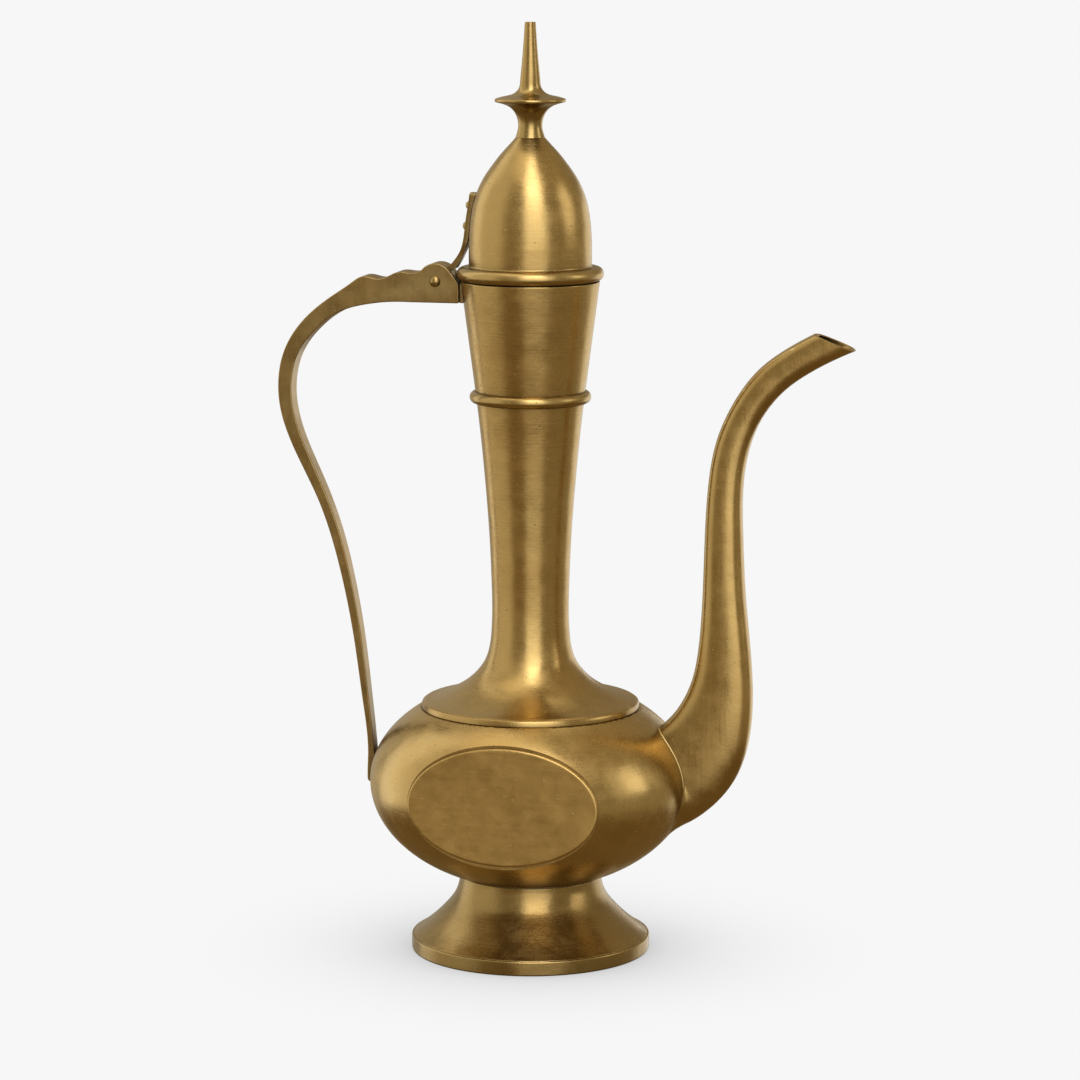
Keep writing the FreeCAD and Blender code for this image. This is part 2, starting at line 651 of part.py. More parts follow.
def lid_strap(dome, ring):
    inner = [xz(point) for point in STRAP_INNER]
    outer = [xz(point) for point in STRAP_OUTER]
    root = V(PIN_X, 0, PIN_Z + 3)
    outline = [spline(inner).toShape(), line(inner[-1], outer[0]), spline(outer).toShape(),
               line(outer[-1], root), line(root, inner[0])]
    blade = through_y(outline, STRAP_HALF_WIDTH).common(strap_leaf())
    strap = blade.fuse(y_cylinder(KNUCKLE_RADIUS, PIN_X, PIN_Z, KNUCKLE_HALF_WIDTH))
    strap = strap.cut(y_cylinder(PIN_RADIUS + PIN_RUNNING_CLEARANCE, PIN_X, PIN_Z, HANDLE_HALF_WIDTH))
    for seat, outward in rivet_axes():
        strap = strap.cut(rivet_shank(seat + outward * 2, outward, 8))
    return strap.cut(dome).cut(ring).removeSplitter()


def lid_strap_rivets(dome, strap):
    """Two rivets through strap and dome, domed outside and set down inside."""
    rivets = []
    for seat, outward in rivet_axes():
        shank = rivet_shank(seat + outward * RIVET_SEAT, outward, RIVET_LENGTH)
        head_foot = seat - outward * RIVET_SEAT
        tail_foot = seat - outward * RIVET_TAIL_DEPTH
        head = domed_head(RIVET_HEAD_RADIUS, RIVET_HEAD_HEIGHT + RIVET_SEAT, head_foot, outward)
        tail = domed_head(RIVET_HEAD_RADIUS, RIVET_TAIL_HEIGHT, tail_foot, outward * -1)
        rivets.append(shank.fuse(head).fuse(tail).cut(dome).cut(strap))
    return Part.makeCompound(rivets)


# ---- assembly -------------------------------------------------------------------------------------
def build():
    belly = belly_form(0)
    passage = spout_form(SPOUT_SECTIONS, -SPOUT_WALL, -SPOUT_WALL, -SPOUT_WALL)
    nodes = {}
    nodes["foot_base_ring"] = foot_base_ring()
    nodes["foot_skirt"] = foot_skirt(nodes["foot_base_ring"], belly)
    nodes["belly_lower_bowl"], nodes["belly_upper_bowl"] = belly_bowls(belly, passage)
    nodes["medallion_front"] = medallion(-1)
    nodes["medallion_back"] = medallion(1)
    nodes["neck_lower"] = neck_lower()
    nodes["neck_upper"] = neck_upper()
    nodes["neck_bead"] = neck_bead(nodes["neck_lower"], nodes["neck_upper"])
    nodes["spout"] = spout(belly, passage)
    nodes["spout_root_collar"] = spout_root_collar(belly)
    nodes["handle"] = handle(belly)
    nodes["neck_lug"] = neck_lug(nodes["neck_lower"], nodes["neck_upper"])
    nodes["hinge_pin"] = hinge_pin()
    dome = lid_dome()
    for seat, outward in rivet_axes():
        dome = dome.cut(rivet_shank(seat + outward * 2, outward, 8))
    nodes["lid_dome"] = dome
    nodes["lid_ring"] = lid_ring()
    nodes["lid_inner_collar"] = lid_inner_collar()
    nodes["lid_strap"] = lid_strap(dome, nodes["lid_ring"])
    nodes["lid_strap_rivets"] = lid_strap_rivets(dome, nodes["lid_strap"])
    nodes["finial"] = finial()
    nodes["finial_rove"] = finial_rove()
    nodes["finial_nut"] = finial_nut()
    return nodes


def main():
    os.makedirs("parts", exist_ok=True)
    for name, shape in build().items():
        shape.exportStep("parts/" + name + ".step")
        state = "valid" if shape.isValid() else "NOT VALID"
        print(name, state, "solids", len(shape.Solids), "volume", round(shape.Volume, 1))


main()
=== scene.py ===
"""The dallah coffee pot in a plain studio: fine meshes, aged brass and soft light.

Metres, +Z up, +X towards the spout. Outlines are in millimetres, as the pot's design gives them.
"""
import json
import math

import bmesh
import bpy
import numpy as np
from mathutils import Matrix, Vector


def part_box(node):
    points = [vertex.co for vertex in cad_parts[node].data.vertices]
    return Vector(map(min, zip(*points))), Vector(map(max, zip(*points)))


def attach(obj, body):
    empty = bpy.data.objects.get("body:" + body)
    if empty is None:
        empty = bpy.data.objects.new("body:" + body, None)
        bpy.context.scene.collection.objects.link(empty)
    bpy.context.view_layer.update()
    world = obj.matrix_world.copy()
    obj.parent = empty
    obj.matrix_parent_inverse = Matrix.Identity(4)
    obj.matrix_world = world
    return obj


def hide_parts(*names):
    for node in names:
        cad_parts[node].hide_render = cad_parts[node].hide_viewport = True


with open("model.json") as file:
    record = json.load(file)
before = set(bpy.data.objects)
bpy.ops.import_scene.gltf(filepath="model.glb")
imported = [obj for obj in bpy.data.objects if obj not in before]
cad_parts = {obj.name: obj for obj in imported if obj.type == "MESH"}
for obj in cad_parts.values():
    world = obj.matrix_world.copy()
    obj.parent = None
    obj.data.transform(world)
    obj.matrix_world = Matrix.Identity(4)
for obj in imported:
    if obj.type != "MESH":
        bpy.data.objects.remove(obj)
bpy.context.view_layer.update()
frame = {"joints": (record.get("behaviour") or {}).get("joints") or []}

MM = 0.001

# ---- driving sizes, millimetres ----
SHEET = 1.6                      # wall of the belly and foot
NECK_WALL = 1.5
SPOUT_WALL = 1.5
DOME_WALL = 1.4

FOOT_RADIUS = 51.7
FOOT_BORE = 47.9
FOOT_BAND = 6.3

BELLY_RADIUS = 69.5
BELLY_LEVEL = 74.6               # height of the widest circle, where the bowls meet
BELLY_RISE = 43.9
BELLY_DROP = 46.3
FACET_DEPTH = 56.0               # the flat on each side, from the axis

MEDALLION_HALF_WIDTH = 41.0
MEDALLION_HALF_HEIGHT = 25.4
MEDALLION_LEVEL = 74.0
MEDALLION_THICKNESS = 1.2
MEDALLION_ROUND = 1.0
MEDALLION_SINK = 0.1             # how far the plate reaches into the flat

SHOULDER_LEVEL = 106.6
SHOULDER_RADIUS = 47.0
SHOULDER_EDGE = 1.6
SHOULDER_ROUND = (46.65, 109.1)
BEAD_LEVEL = 241.3
BEAD_RADIUS = 26.0
BEAD_HALF_HEIGHT = 2.55
BEAD_CENTRE = 23.4               # radius of the middle of its half-round section
BEAD_BACK = (22.95, 22.6)        # radius of its back, above and below
NECK_JOINT_RADIUS = 23.2
MOUTH_LEVEL = 290.8
MOUTH_RADIUS = 29.65
NECK_SLOPE = (MOUTH_RADIUS - NECK_JOINT_RADIUS) / (MOUTH_LEVEL - BEAD_LEVEL)

LID_LEVEL = 291.0
LID_RING_RADIUS = 31.3
LID_RING_HEIGHT = 5.9
LID_RING_HOLLOW = 0.8            # radius of the hollow where the ring meets the dome
DOME_RADIUS = 26.2
DOME_TOP = 351.5
DOME_CROWN = 6.3
COLLAR_DEPTH = 7.0
COLLAR_GAP = 0.5
COLLAR_WALL = 1.2
COLLAR_SHOULDER = (1.6, 1.8)     # inner corner, in from the outer face and down from the lid
COLLAR_FLANGE = 1.0
TIP_LEVEL = 400.0
FINIAL_DISC_RADIUS = 14.6
FINIAL_RIM_CROWN = 0.5
STUD_RADIUS = 2.0
STUD_CLEARANCE = 0.1
STUD_LENGTH = 9.0
ROVE_RADIUS = 5.0
ROVE_THICKNESS = 1.0
NUT_ACROSS_FLATS = 7.0
NUT_HEIGHT = 3.2
NUT_CHAMFER = 0.6

PIN_X = frame["joints"][0]["pos_m"][0] / MM
PIN_Z = frame["joints"][0]["pos_m"][2] / MM
PIN_RADIUS = 1.5
PIN_RUNNING_CLEARANCE = 0.06
PIN_HEAD_RADIUS = 2.4
PIN_HEAD_HEIGHT = 1.3

HANDLE_HALF_WIDTH = 6.45
HANDLE_ROUND = 0.45
HUMP_RADIUS = 7.7
HUMP_FROM = 143.0                # the hump's arc round the pin, degrees from +X
HUMP_TO = 31.0
KNUCKLE_RADIUS = 7.6
KNUCKLE_HALF_WIDTH = 2.5
KNUCKLE_CHAMFER = 0.25
SLOT_HALF_WIDTH = 2.65
SLOT_RADIUS = 8.2
SLOT_REACH = 20.0                # of the slot's cutter, out past the ears
PIN_BORE_REACH = 9.0             # of the bore's cutter, to each side
EAR_FRONT = -29.9
EAR_BOTTOM = 281.1
SLOT_FLOOR_FRONT = 288.0
HUMP_SHOULDER = (-31.9, 292.2)   # the ear's front, from the hump down to the neck
EAR_BROW = (-30.2, 289.5)
EAR_CORNER = 0.8
LUG_HALF_WIDTH = 4.8
LUG_TOP = 289.3
LUG_BACK = -26.2
LUG_ROUND = 0.35
LUG_SINK = 0.3                   # how far the saddle reaches into the neck

STRAP_HALF_WIDTH = 3.4
STRAP_TOP = 328.0
STRAP_CORNER = 1.2
STRAP_ROUND = 0.35
STRAP_ROOT = 3.0                 # height above the pin where the strap starts, inside the knuckle
STRAP_GAP = 0.05                 # how much narrower than the knuckle the strap starts
RIVET_HEAD_RADIUS = 1.9
RIVET_HEAD_HEIGHT = 1.6
RIVET_TAIL_HEIGHT = 1.2
RIVET_TAIL_DEPTH = 3.2           # from the strap's face to the tail's foot
RIVET_SEAT = 0.2                 # how far the head reaches into the strap
RIVET_PLACES = ((-27.85, 313.8, 6.0), (-26.5, 322.6, 11.0))   # x, z and tilt in degrees

# ---- outlines, millimetres: radius or x, then z ----
FOOT_FLARE = ((51.0, FOOT_BAND), (47.5, 8.7), (42.5, 12.8), (37.5, 17.8), (33.5, 22.8), (31.3, 28.0),
              (31.0, 34.5))
NECK_LOWER = ((45.6, 109.8), (42.0, 110.6), (37.0, 112.4), (31.0, 115.4), (26.0, 119.0), (22.4, 122.7),
              (19.65, 126.8), (17.75, 132.5), (16.75, 141.0), (16.5, 150.0), (16.8, 163.0),
              (17.6, 181.0), (19.1, 201.5), (20.9, 221.0), (NECK_JOINT_RADIUS, BEAD_LEVEL))
DOME = ((DOME_RADIUS, 306.0), (26.05, 309.6), (25.7, 314.7), (25.0, 320.0), (23.9, 325.0),
        (22.1, 330.0), (19.55, 335.0), (16.1, 340.0), (12.0, 345.2), (8.6, 348.9),
        (DOME_CROWN, DOME_TOP))
FINIAL_STEM = ((DOME_CROWN, DOME_TOP), (5.5, 354.0), (5.1, 356.7), (5.4, 359.0), (6.6, 362.0),
               (8.9, 364.4), (12.2, 365.8), (FINIAL_DISC_RADIUS, 366.4))
FINIAL_SPIRE = ((FINIAL_DISC_RADIUS, 367.9), (11.5, 368.8), (6.8, 370.2), (4.9, 372.2), (4.25, 375.6),
                (3.75, 381.0), (3.05, 389.0), (2.3, TIP_LEVEL))

# Each oval section of the spout: a point on its upper line, one on its lower line, half width.
SPOUT_FULLNESS = 0.74            # 0.55 would be a plain oval
SPOUT_SECTIONS = (
    ((46.0, 93.0), (50.5, 52.5), 9.8),
    ((60.0, 102.8), (74.3, 61.3), 9.4),
    ((66.9, 111.9), (89.5, 77.8), 9.0),
    ((70.8, 120.8), (95.4, 94.5), 8.7),
    ((73.0, 130.5), (97.0, 111.0), 8.5),
    ((74.5, 144.0), (96.1, 131.5), 8.3),
    ((75.5, 163.0), (93.6, 158.0), 8.1),
    ((76.2, 186.0), (92.2, 185.5), 7.8),
    ((77.7, 208.0), (92.2, 205.0), 7.5),
    ((81.2, 225.8), (94.6, 220.7), 7.2),
    ((88.3, 241.6), (99.8, 233.9), 7.0),
    ((99.5, 256.2), (108.8, 245.7), 6.9),
    ((112.9, 265.9), (119.1, 253.6), 6.8),
    ((134.5, 276.3), (140.3, 264.4), 6.7),
)
MOUTH_TOP = (122.6, 270.6)
MOUTH_TIP = (139.5, 264.0)
ROOT_BLEND = 5.0                 # reach of the blend at the root's underside
ROOT_BLEND_LEAST = 0.1           # its reach elsewhere
ROOT_BLEND_RISE = 1.3            # how much further it reaches up the spout
ROOT_BLEND_SEAT = 0.4            # draws its foot back onto the belly
ROOT_BLEND_LEVELS = (62.0, 80.0)   # full below the first height, faded out above the second
ROOT_LIP_LEVELS = (66.0, 78.0)   # thin below the first height, full above the second
ROOT_LIP = (0.15, 0.7)           # its radius where it is thin and where it is full
LIP_CROWN = 0.3

HANDLE_OUTER = ((-71.9, 82.3), (-74.1, 106.7), (-77.7, 133.2), (-84.4, 166.9), (-93.2, 194.4),
                (-104.6, 218.4), (-109.6, 233.5), (-110.4, 246.0), (-107.7, 258.7), (-98.5, 272.8),
                (-85.1, 283.7), (-77.0, 289.2), (-72.2, 291.9))
HANDLE_SCALLOPS = ((-67.8, 291.4), (-64.5, 290.9), (-60.8, 292.2), (-56.7, 294.0), (-52.5, 293.9),
                   (-49.4, 293.8))
HANDLE_INNER = ((-52.0, 281.2), (-62.0, 281.0), (-71.0, 279.8), (-82.6, 276.4), (-93.8, 268.1),
                (-101.0, 258.5), (-104.1, 248.5), (-104.3, 237.0), (-101.4, 224.5), (-92.2, 202.8),
                (-84.2, 181.5), (-78.5, 158.5), (-74.3, 134.0), (-71.3, 108.0), (-69.3, 88.0),
                (-68.6, 78.0))
HANDLE_FOOT = ((-72.2, 72.6), (-72.1, 77.8))
HANDLE_TOE = (-71.2, 70.6)
TOE_BULGE = 0.3
# Height, then half width.
HANDLE_TAPER = ((60.0, 3.5), (110.0, 3.7), (160.0, 3.9), (205.0, 4.2), (242.0, 4.7), (264.0, 5.5),
                (284.0, HANDLE_HALF_WIDTH), (310.0, HANDLE_HALF_WIDTH))

STRAP_INNER = ((-31.8, 295.8), (-29.2, 300.4), (-27.6, 304.0), (-26.5, 307.6), (-25.9, 312.0),
               (-25.3, 317.5), (-24.3, 323.0), (-22.8, STRAP_TOP))
STRAP_OUTER = ((-34.4, 297.3), (-31.6, 300.8), (-29.7, 304.3), (-28.6, 308.2), (-28.1, 312.0),
               (-27.4, 317.4), (-26.5, 322.9), (-25.8, STRAP_TOP))
STRAP_NARROW_BELOW = 301.0
STRAP_WIDE_ABOVE = 307.5

CROWN_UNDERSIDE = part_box("finial_rove")[1].z / MM

TURNS = 288                      # steps round a turned piece
SMOOTH_ANGLE = math.radians(32)
CLEAR = 80.0                     # reach of the cutter that opens the belly to the neck

# ---- colours, linear, and patterns ----
BRASS = (0.60, 0.41, 0.155)
STAIN = (0.50, 0.30, 0.10)
# Dark brown of the real pits and of the painted shade in crevices.
PIT_AND_SHADE = (0.085, 0.05, 0.02)
# Lighter brass of worn edges, also used as a painted highlight along edges.
WORN_AND_GLINT = (0.80, 0.64, 0.32)

# Patterns of the metal's surface, in repeats per metre, and their heights, in metres.
CLOUD_SCALE = 21.0
MOTTLE_SCALE = 120.0
SPECK_SCALE = 900.0
DENT_SCALE = 38.0
ACROSS_MARKS = 900.0
ALONG_MARKS = 50.0
TURNED_MARKS = 1500.0
ROUND_MARKS = 1.5                # along turned marks, repeats per radian
DENT_HEIGHT = 0.0030
MOTTLE_HEIGHT = 0.00010
MARK_HEIGHT = 0.0000225
PIT_DEPTH = 0.00010
SHELTER_SHADE_REACH = 0.04             # how near other metal must stand for the painted shade, in metres
# Share of the colour kept under that painted shade where other metal stands nearest.
SHELTER_SHADE_TONE = 0.58
# Reach of the painted shade in crevices and at joints, in metres.
CREVICE_SHADE_REACH = 0.003

FLOOR_SIDE = 6000.0
SHADOW_REACH = 0.11              # of the contact shadow, in metres
SHADOW_TONE = 0.42               # the floor's tone where it is darkest
CAMERA_PLACE = (0.3505, -1.6291, 0.4464)   # metres
CAMERA_TARGET = (0.0040, 0.0009, 0.1792)
LENS = 130.93
SENSOR_WIDTH = 36.0

PALE = 0.93                      # of the floor and the backdrop
SURROUNDINGS = (0.31, 0.265, 0.18)
VIEW_BEARING = 12.0              # degrees, from -Y towards +X
MIRRORED_TWICE = 0.62            # share kept of light that comes by way of other metal
# Each panel: bearing from the view, half width, lowest and highest elevation and softness, in
# degrees, then its colour. Later ones lie over earlier ones.
PANELS = (
    (0, 181, 58, 91, 12, (1.18, 1.08, 0.88)),
    (92, 54, 30, 86, 9, (0.36, 0.30, 0.20)),
    (-178, 26, 30, 82, 9, (0.36, 0.30, 0.20)),
    (-24, 30, -30, -8, 6, (0.27, 0.20, 0.11)),
    (-90, 36, -24, 52, 10, (0.72, 0.675, 0.57)),
    (-122, 14, -24, 60, 4, (1.08, 1.06, 0.99)),
    (-160, 16, -22, 60, 6, (0.46, 0.43, 0.36)),
    (150, 26, -24, 8, 4, (1.02, 1.01, 0.97)),
    (0, 181, -91, -21, 3, (0.17, 0.115, 0.05)),
    (9, 21, -20, 0, 5, (0.80, 0.77, 0.70)),
    (9, 21, -6, 20, 5, (1.55, 1.53, 1.46)),
    (9, 21, 16, 42, 5, (2.3, 2.29, 2.23)),
    (7, 21, 38, 74, 5, (3.3, 3.3, 3.26)),
    (82, 11, 3, 35, 4, (1.4, 1.34, 1.22)),
)


# ---- curves and profiles ----
class Curve:
    """A smooth curve through points, by their spacing or by given distances."""

    def __init__(self, points, distances=None):
        self.points = np.array(points, float).reshape(len(points), -1)
        steps = np.linalg.norm(np.diff(self.points, axis=0), axis=1)
        spaced = np.r_[0, np.cumsum(steps)]
        self.distances = spaced if distances is None else np.array(distances, float)
        self.length = self.distances[-1]
        self.bends = self.second_derivatives()

    def second_derivatives(self):
        p, h = self.points, np.diff(self.distances)[:, None]
        slopes = np.diff(p, axis=0) / h
        count = len(p)
        matrix = np.zeros((count, count))
        wanted = np.zeros_like(p)
        for i in range(1, count - 1):
            before, after = h[i - 1, 0], h[i, 0]
            matrix[i, i - 1:i + 2] = before, 2 * (before + after), after
            wanted[i] = 6 * (slopes[i] - slopes[i - 1])
        matrix[0, 0] = matrix[-1, -1] = 1
        matrix[0, 1] = matrix[-1, -2] = -1
        return np.linalg.solve(matrix, wanted)

    def at(self, where):
        """Points at these distances along the curve."""
        t = np.atleast_1d(np.asarray(where, float))
        k = np.clip(np.searchsorted(self.distances, t) - 1, 0, len(self.points) - 2)
        h = (self.distances[k + 1] - self.distances[k])[:, None]
        a = (self.distances[k + 1] - t)[:, None] / h
        b = 1 - a
        bend = ((a ** 3 - a) * self.bends[k] + (b ** 3 - b) * self.bends[k + 1]) * h ** 2 / 6
        return a * self.points[k] + b * self.points[k + 1] + bend

    def sampled(self, spacing):
        count = max(2, int(round(self.length / spacing)) + 1)
        return self.at(np.linspace(0, self.length, count))


def arc(centre, radius, start, end, steps):
    """Points of a circle's arc, angles in degrees."""
    turn = np.radians(np.linspace(start, end, steps))
    return np.c_[centre[0] + radius * np.cos(turn), centre[1] + radius * np.sin(turn)]


def inset(points, wall):
    """The curve through points, moved towards the left-hand side of an upward profile."""
    points = np.array(points, float)
    tangents = np.gradient(points, axis=0)
    tangents /= np.linalg.norm(tangents, axis=1)[:, None]
    return points - np.c_[tangents[:, 1], -tangents[:, 0]] * wall


def softened(profile, radius, sharper_than=25.0, steps=4):
    """A closed profile with each sharp corner turned into a small arc."""
    points = [np.array(p, float) for p in profile]
    smooth = []
    for i, point in enumerate(points):
        before, after = points[i - 1] - point, points[(i + 1) % len(points)] - point
        reach_before, reach_after = np.linalg.norm(before), np.linalg.norm(after)
        cosine = np.clip(before @ after / (reach_before * reach_after), -1, 1)
        turn = math.pi - math.acos(cosine)
        if math.degrees(turn) < sharper_than:
            smooth.append(point)
            continue
        longest = 0.45 * min(reach_before, reach_after)
        reach = min(radius * math.tan(turn / 2), longest)
        start = point + before / reach_before * reach
        end = point + after / reach_after * reach
        for step in np.linspace(0, 1, steps + 1):
            smooth.append((1 - step) ** 2 * start + 2 * step * (1 - step) * point + step ** 2 * end)
    return smooth


# ---- meshes ----
def mesh_object(name, vertices, faces):
    """An object made from points in millimetres."""
    mesh = bpy.data.meshes.new(name)
    mesh.from_pydata((np.array(vertices, float) * MM).tolist(), [], faces)
    obj = bpy.data.objects.new(name, mesh)
    bpy.context.scene.collection.objects.link(obj)
    return obj


def piece(node, vertices, faces, body, slot, material, name=None):
    """A finished piece, placed on its body in the CAD node's stead."""
    obj = mesh_object(name or node + "_detail", vertices, faces)
    obj.data.validate()
    obj.data.materials.append(material)
    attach(obj, body)
    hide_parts(node)
    return obj


def shaded(obj):
    """Smooth shading that keeps sharp edges and lets large faces stay flat."""
    obj.data.shade_smooth()
    obj.data.set_sharp_from_angle(angle=SMOOTH_ANGLE)
    modifier = obj.modifiers.new("flat faces stay flat", "WEIGHTED_NORMAL")
    modifier.keep_sharp = True
    modifier.weight = 80
    return obj


def grid_faces(rows, columns, closed_rows, closed_columns, offset=0):
    """Quads of a grid of points, row after row."""
    faces = []
    for i in range(rows if closed_rows else rows - 1):
        for j in range(columns if closed_columns else columns - 1):
            a = i * columns + j
            b = i * columns + (j + 1) % columns
            c = ((i + 1) % rows) * columns + (j + 1) % columns
            d = ((i + 1) % rows) * columns + j
            faces.append((offset + a, offset + b, offset + c, offset + d))
    return faces


def tube_faces(rows, columns):
    """Quads between rows that are closed rings, with both ends filled."""
    faces = grid_faces(rows, columns, False, True)
    faces.append(tuple(range(columns)))
    faces.append(tuple(range((rows - 1) * columns, rows * columns)))
    return faces


def turned(profile, turns=TURNS):
    """A closed (radius, z) profile turned about Z; its points on the axis become poles."""
    angles = np.linspace(0, 2 * math.pi, turns, endpoint=False)
    vertices, rings, faces = [], [], []
    for radius, z in profile:
        start = len(vertices)
        if radius < 1e-6:
            vertices.append((0, 0, z))
            rings.append([start] * turns)
        else:
            vertices.extend(zip(radius * np.cos(angles), radius * np.sin(angles), np.full(turns, z)))
            rings.append(list(range(start, start + turns)))
    for i, ring in enumerate(rings):
        following = rings[(i + 1) % len(rings)]
        for j in range(turns):
            k = (j + 1) % turns
            corners = [ring[j], ring[k], following[k], following[j]]
            corners = [c for n, c in enumerate(corners) if c != corners[n - 1]]
            if len(set(corners)) >= 3:
                faces.append(tuple(corners))
    return vertices, faces


def lathe(node, profile, body, slot, material, softness=0.25, turns=TURNS):
    vertices, faces = turned(softened(profile, softness), turns)
    return shaded(piece(node, vertices, faces, body, slot, material))


def recalculated(obj):
    """Face normals all pointing out."""
    made = bmesh.new()
    made.from_mesh(obj.data)
    bmesh.ops.recalc_face_normals(made, faces=made.faces)
    made.to_mesh(obj.data)
    made.free()
    return obj


def applied(obj):
    """Replaces the object's mesh by what its modifiers make of it."""
    graph = bpy.context.evaluated_depsgraph_get()
    mesh = bpy.data.meshes.new_from_object(obj.evaluated_get(graph), depsgraph=graph)
    obj.modifiers.clear()
    obj.data = mesh
    return obj


def combined(obj, tool, operation="DIFFERENCE"):
    """The object cut by, joined with or limited to a tool of (vertices, faces)."""
    other = recalculated(mesh_object("tool", *tool))
    modifier = obj.modifiers.new("boolean", "BOOLEAN")
    modifier.operation = operation
    modifier.solver = "EXACT"
    modifier.object = other
    applied(obj)
    bpy.data.objects.remove(other)
    return obj


def broken_edges(obj, width, sharper_than):
    """The object with its sharp edges rounded by a small bevel."""
    bevel = obj.modifiers.new("broken edges", "BEVEL")
    bevel.width = width * MM
    bevel.segments = 3
    bevel.limit_method = "ANGLE"
    bevel.angle_limit = math.radians(sharper_than)
    return applied(obj)


def pin_cylinder(radius, half_length, edge=0.0, steps=96):
    """Closed cylinder round the hinge pin's axis, its ends chamfered by edge."""
    levels = [(radius, -half_length), (radius, half_length)]
    if edge:
        levels = [(radius - edge, -half_length), (radius, -half_length + edge),
                  (radius, half_length - edge), (radius - edge, half_length)]
    turn = np.linspace(0, 2 * math.pi, steps, endpoint=False)
    vertices = []
    for r, y in levels:
        x, z = PIN_X + r * np.cos(turn), PIN_Z + r * np.sin(turn)
        vertices.extend(zip(x, np.full(steps, y), z))
    return vertices, tube_faces(len(levels), steps)


def block(low, high):
    """Box between two corners."""
    (x0, y0, z0), (x1, y1, z1) = low, high
    corners = [(x, y, z) for x in (x0, x1) for y in (y0, y1) for z in (z0, z1)]
    faces = [(0, 1, 3, 2), (4, 6, 7, 5), (0, 4, 5, 1), (2, 3, 7, 6), (0, 2, 6, 4), (1, 5, 7, 3)]
    return corners, faces


# ---- foot and belly ----
def belly_z(radius):
    """Height of the belly's underside at this radius."""
    return BELLY_LEVEL - BELLY_DROP * np.sqrt(1 - (radius / BELLY_RADIUS) ** 2)


def foot_base_ring(material):
    profile = [(FOOT_BORE, 0), (FOOT_RADIUS, 0), (FOOT_RADIUS, FOOT_BAND), (FOOT_BORE, FOOT_BAND)]
    lathe("foot_base_ring", profile, "pot", "foot_brass", material, 0.7)


def foot_skirt(material):
    outer = Curve(FOOT_FLARE).sampled(0.8)
    inner = inset(outer, SHEET)
    outer = outer[outer[:, 1] < belly_z(outer[:, 0])]
    inner = inner[(inner[:, 1] < belly_z(inner[:, 0])) & (inner[:, 1] > FOOT_BAND)]
    sill = [(inner[0, 0], FOOT_BAND)]
    lathe("foot_skirt", [*outer, *inner[::-1], *sill], "pot", "foot_brass", material, 0.3)


def belly_point(tilt, turn, wall):
    """Point of the belly's form: tilt from the Y axis, turn about it, drawn in by wall."""
    radius = BELLY_RADIUS - wall
    height = np.where(np.sin(turn) >= 0, BELLY_RISE - wall, BELLY_DROP - wall)
    x = radius * np.sin(tilt) * np.cos(turn)
    z = BELLY_LEVEL + height * np.sin(tilt) * np.sin(turn)
    return np.stack([x, np.full_like(x, radius * np.cos(tilt)), z], axis=-1)


def belly_sheet(upper, wall, rows=150, columns=150, rings=14):
    """One half of the belly's form as rows of points from flat to flat, with both flats."""
    depth = FACET_DEPTH - wall
    edge = math.acos(depth / (BELLY_RADIUS - wall))
    turn = np.linspace(0, math.pi, columns) + (0 if upper else math.pi)
    flat_rows = []
    for share in np.linspace(0.02, 1, rings, endpoint=False):
        row = belly_point(edge, turn, wall)
        middle = np.array([0, depth, BELLY_LEVEL])
        flat_rows.append(middle + (row - middle) * share)
    body_rows = [belly_point(tilt, turn, wall) for tilt in np.linspace(edge, math.pi - edge, rows)]
    far_rows = [row * (1, -1, 1) for row in flat_rows[::-1]]
    return np.array(flat_rows + body_rows + far_rows)


def belly_shell(upper):
    """One half of the belly as a closed shell: outer sheet, inner sheet and rim."""
    outer, inner = belly_sheet(upper, 0), belly_sheet(upper, SHEET)
    rows, columns = outer.shape[:2]
    count = rows * columns
    faces = grid_faces(rows, columns, False, False)
    faces += [tuple(reversed(face)) for face in grid_faces(rows, columns, False, False, count)]
    border = [i * columns for i in range(rows)]
    border += [(rows - 1) * columns + j for j in range(1, columns)]
    border += [i * columns + columns - 1 for i in range(rows - 2, -1, -1)]
    border += list(range(columns - 2, 0, -1))
    for n, a in enumerate(border):
        b = border[(n + 1) % len(border)]
        faces.append((a, b, b + count, a + count))
    return np.concatenate([outer.reshape(-1, 3), inner.reshape(-1, 3)]), faces


def belly_bowl(name, node, upper, material):
    """One half of the belly, open to the spout and to the neck."""
    vertices, faces = belly_shell(upper)
    obj = recalculated(piece(node, vertices, faces, "pot", "belly_brass", material, name))
    combined(obj, spout_passage())
    if upper:
        high = (CLEAR, CLEAR, SHOULDER_LEVEL + CLEAR)
        combined(obj, block((-CLEAR, -CLEAR, SHOULDER_LEVEL), high))
    return shaded(obj)


def medallion(node, side, material, around=240):
    """Oval plate with a rounded rim; side is -1 or +1 along Y."""
    turn = np.linspace(0, 2 * math.pi, around, endpoint=False)
    face = FACET_DEPTH + MEDALLION_THICKNESS
    rim = arc((-MEDALLION_ROUND, face - MEDALLION_ROUND), MEDALLION_ROUND, 0, 90, 7)
    profile = [(0.0, FACET_DEPTH - MEDALLION_SINK)] + list(rim)
    profile += [(-MEDALLION_ROUND - step, face) for step in (0.6, 1.6, 4.0, 9.0, 15.0, 21.0)]
    rows = []
    for dx, y in profile:
        x = (MEDALLION_HALF_WIDTH + dx) * np.cos(turn)
        z = MEDALLION_LEVEL + (MEDALLION_HALF_HEIGHT + dx) * np.sin(turn)
        rows.append(np.stack([x, np.full(around, side * y), z], axis=-1))
    faces = tube_faces(len(rows), around)
    obj = piece(node, np.concatenate(rows), faces, "pot", "medallion_brass", material)
    return shaded(recalculated(obj))


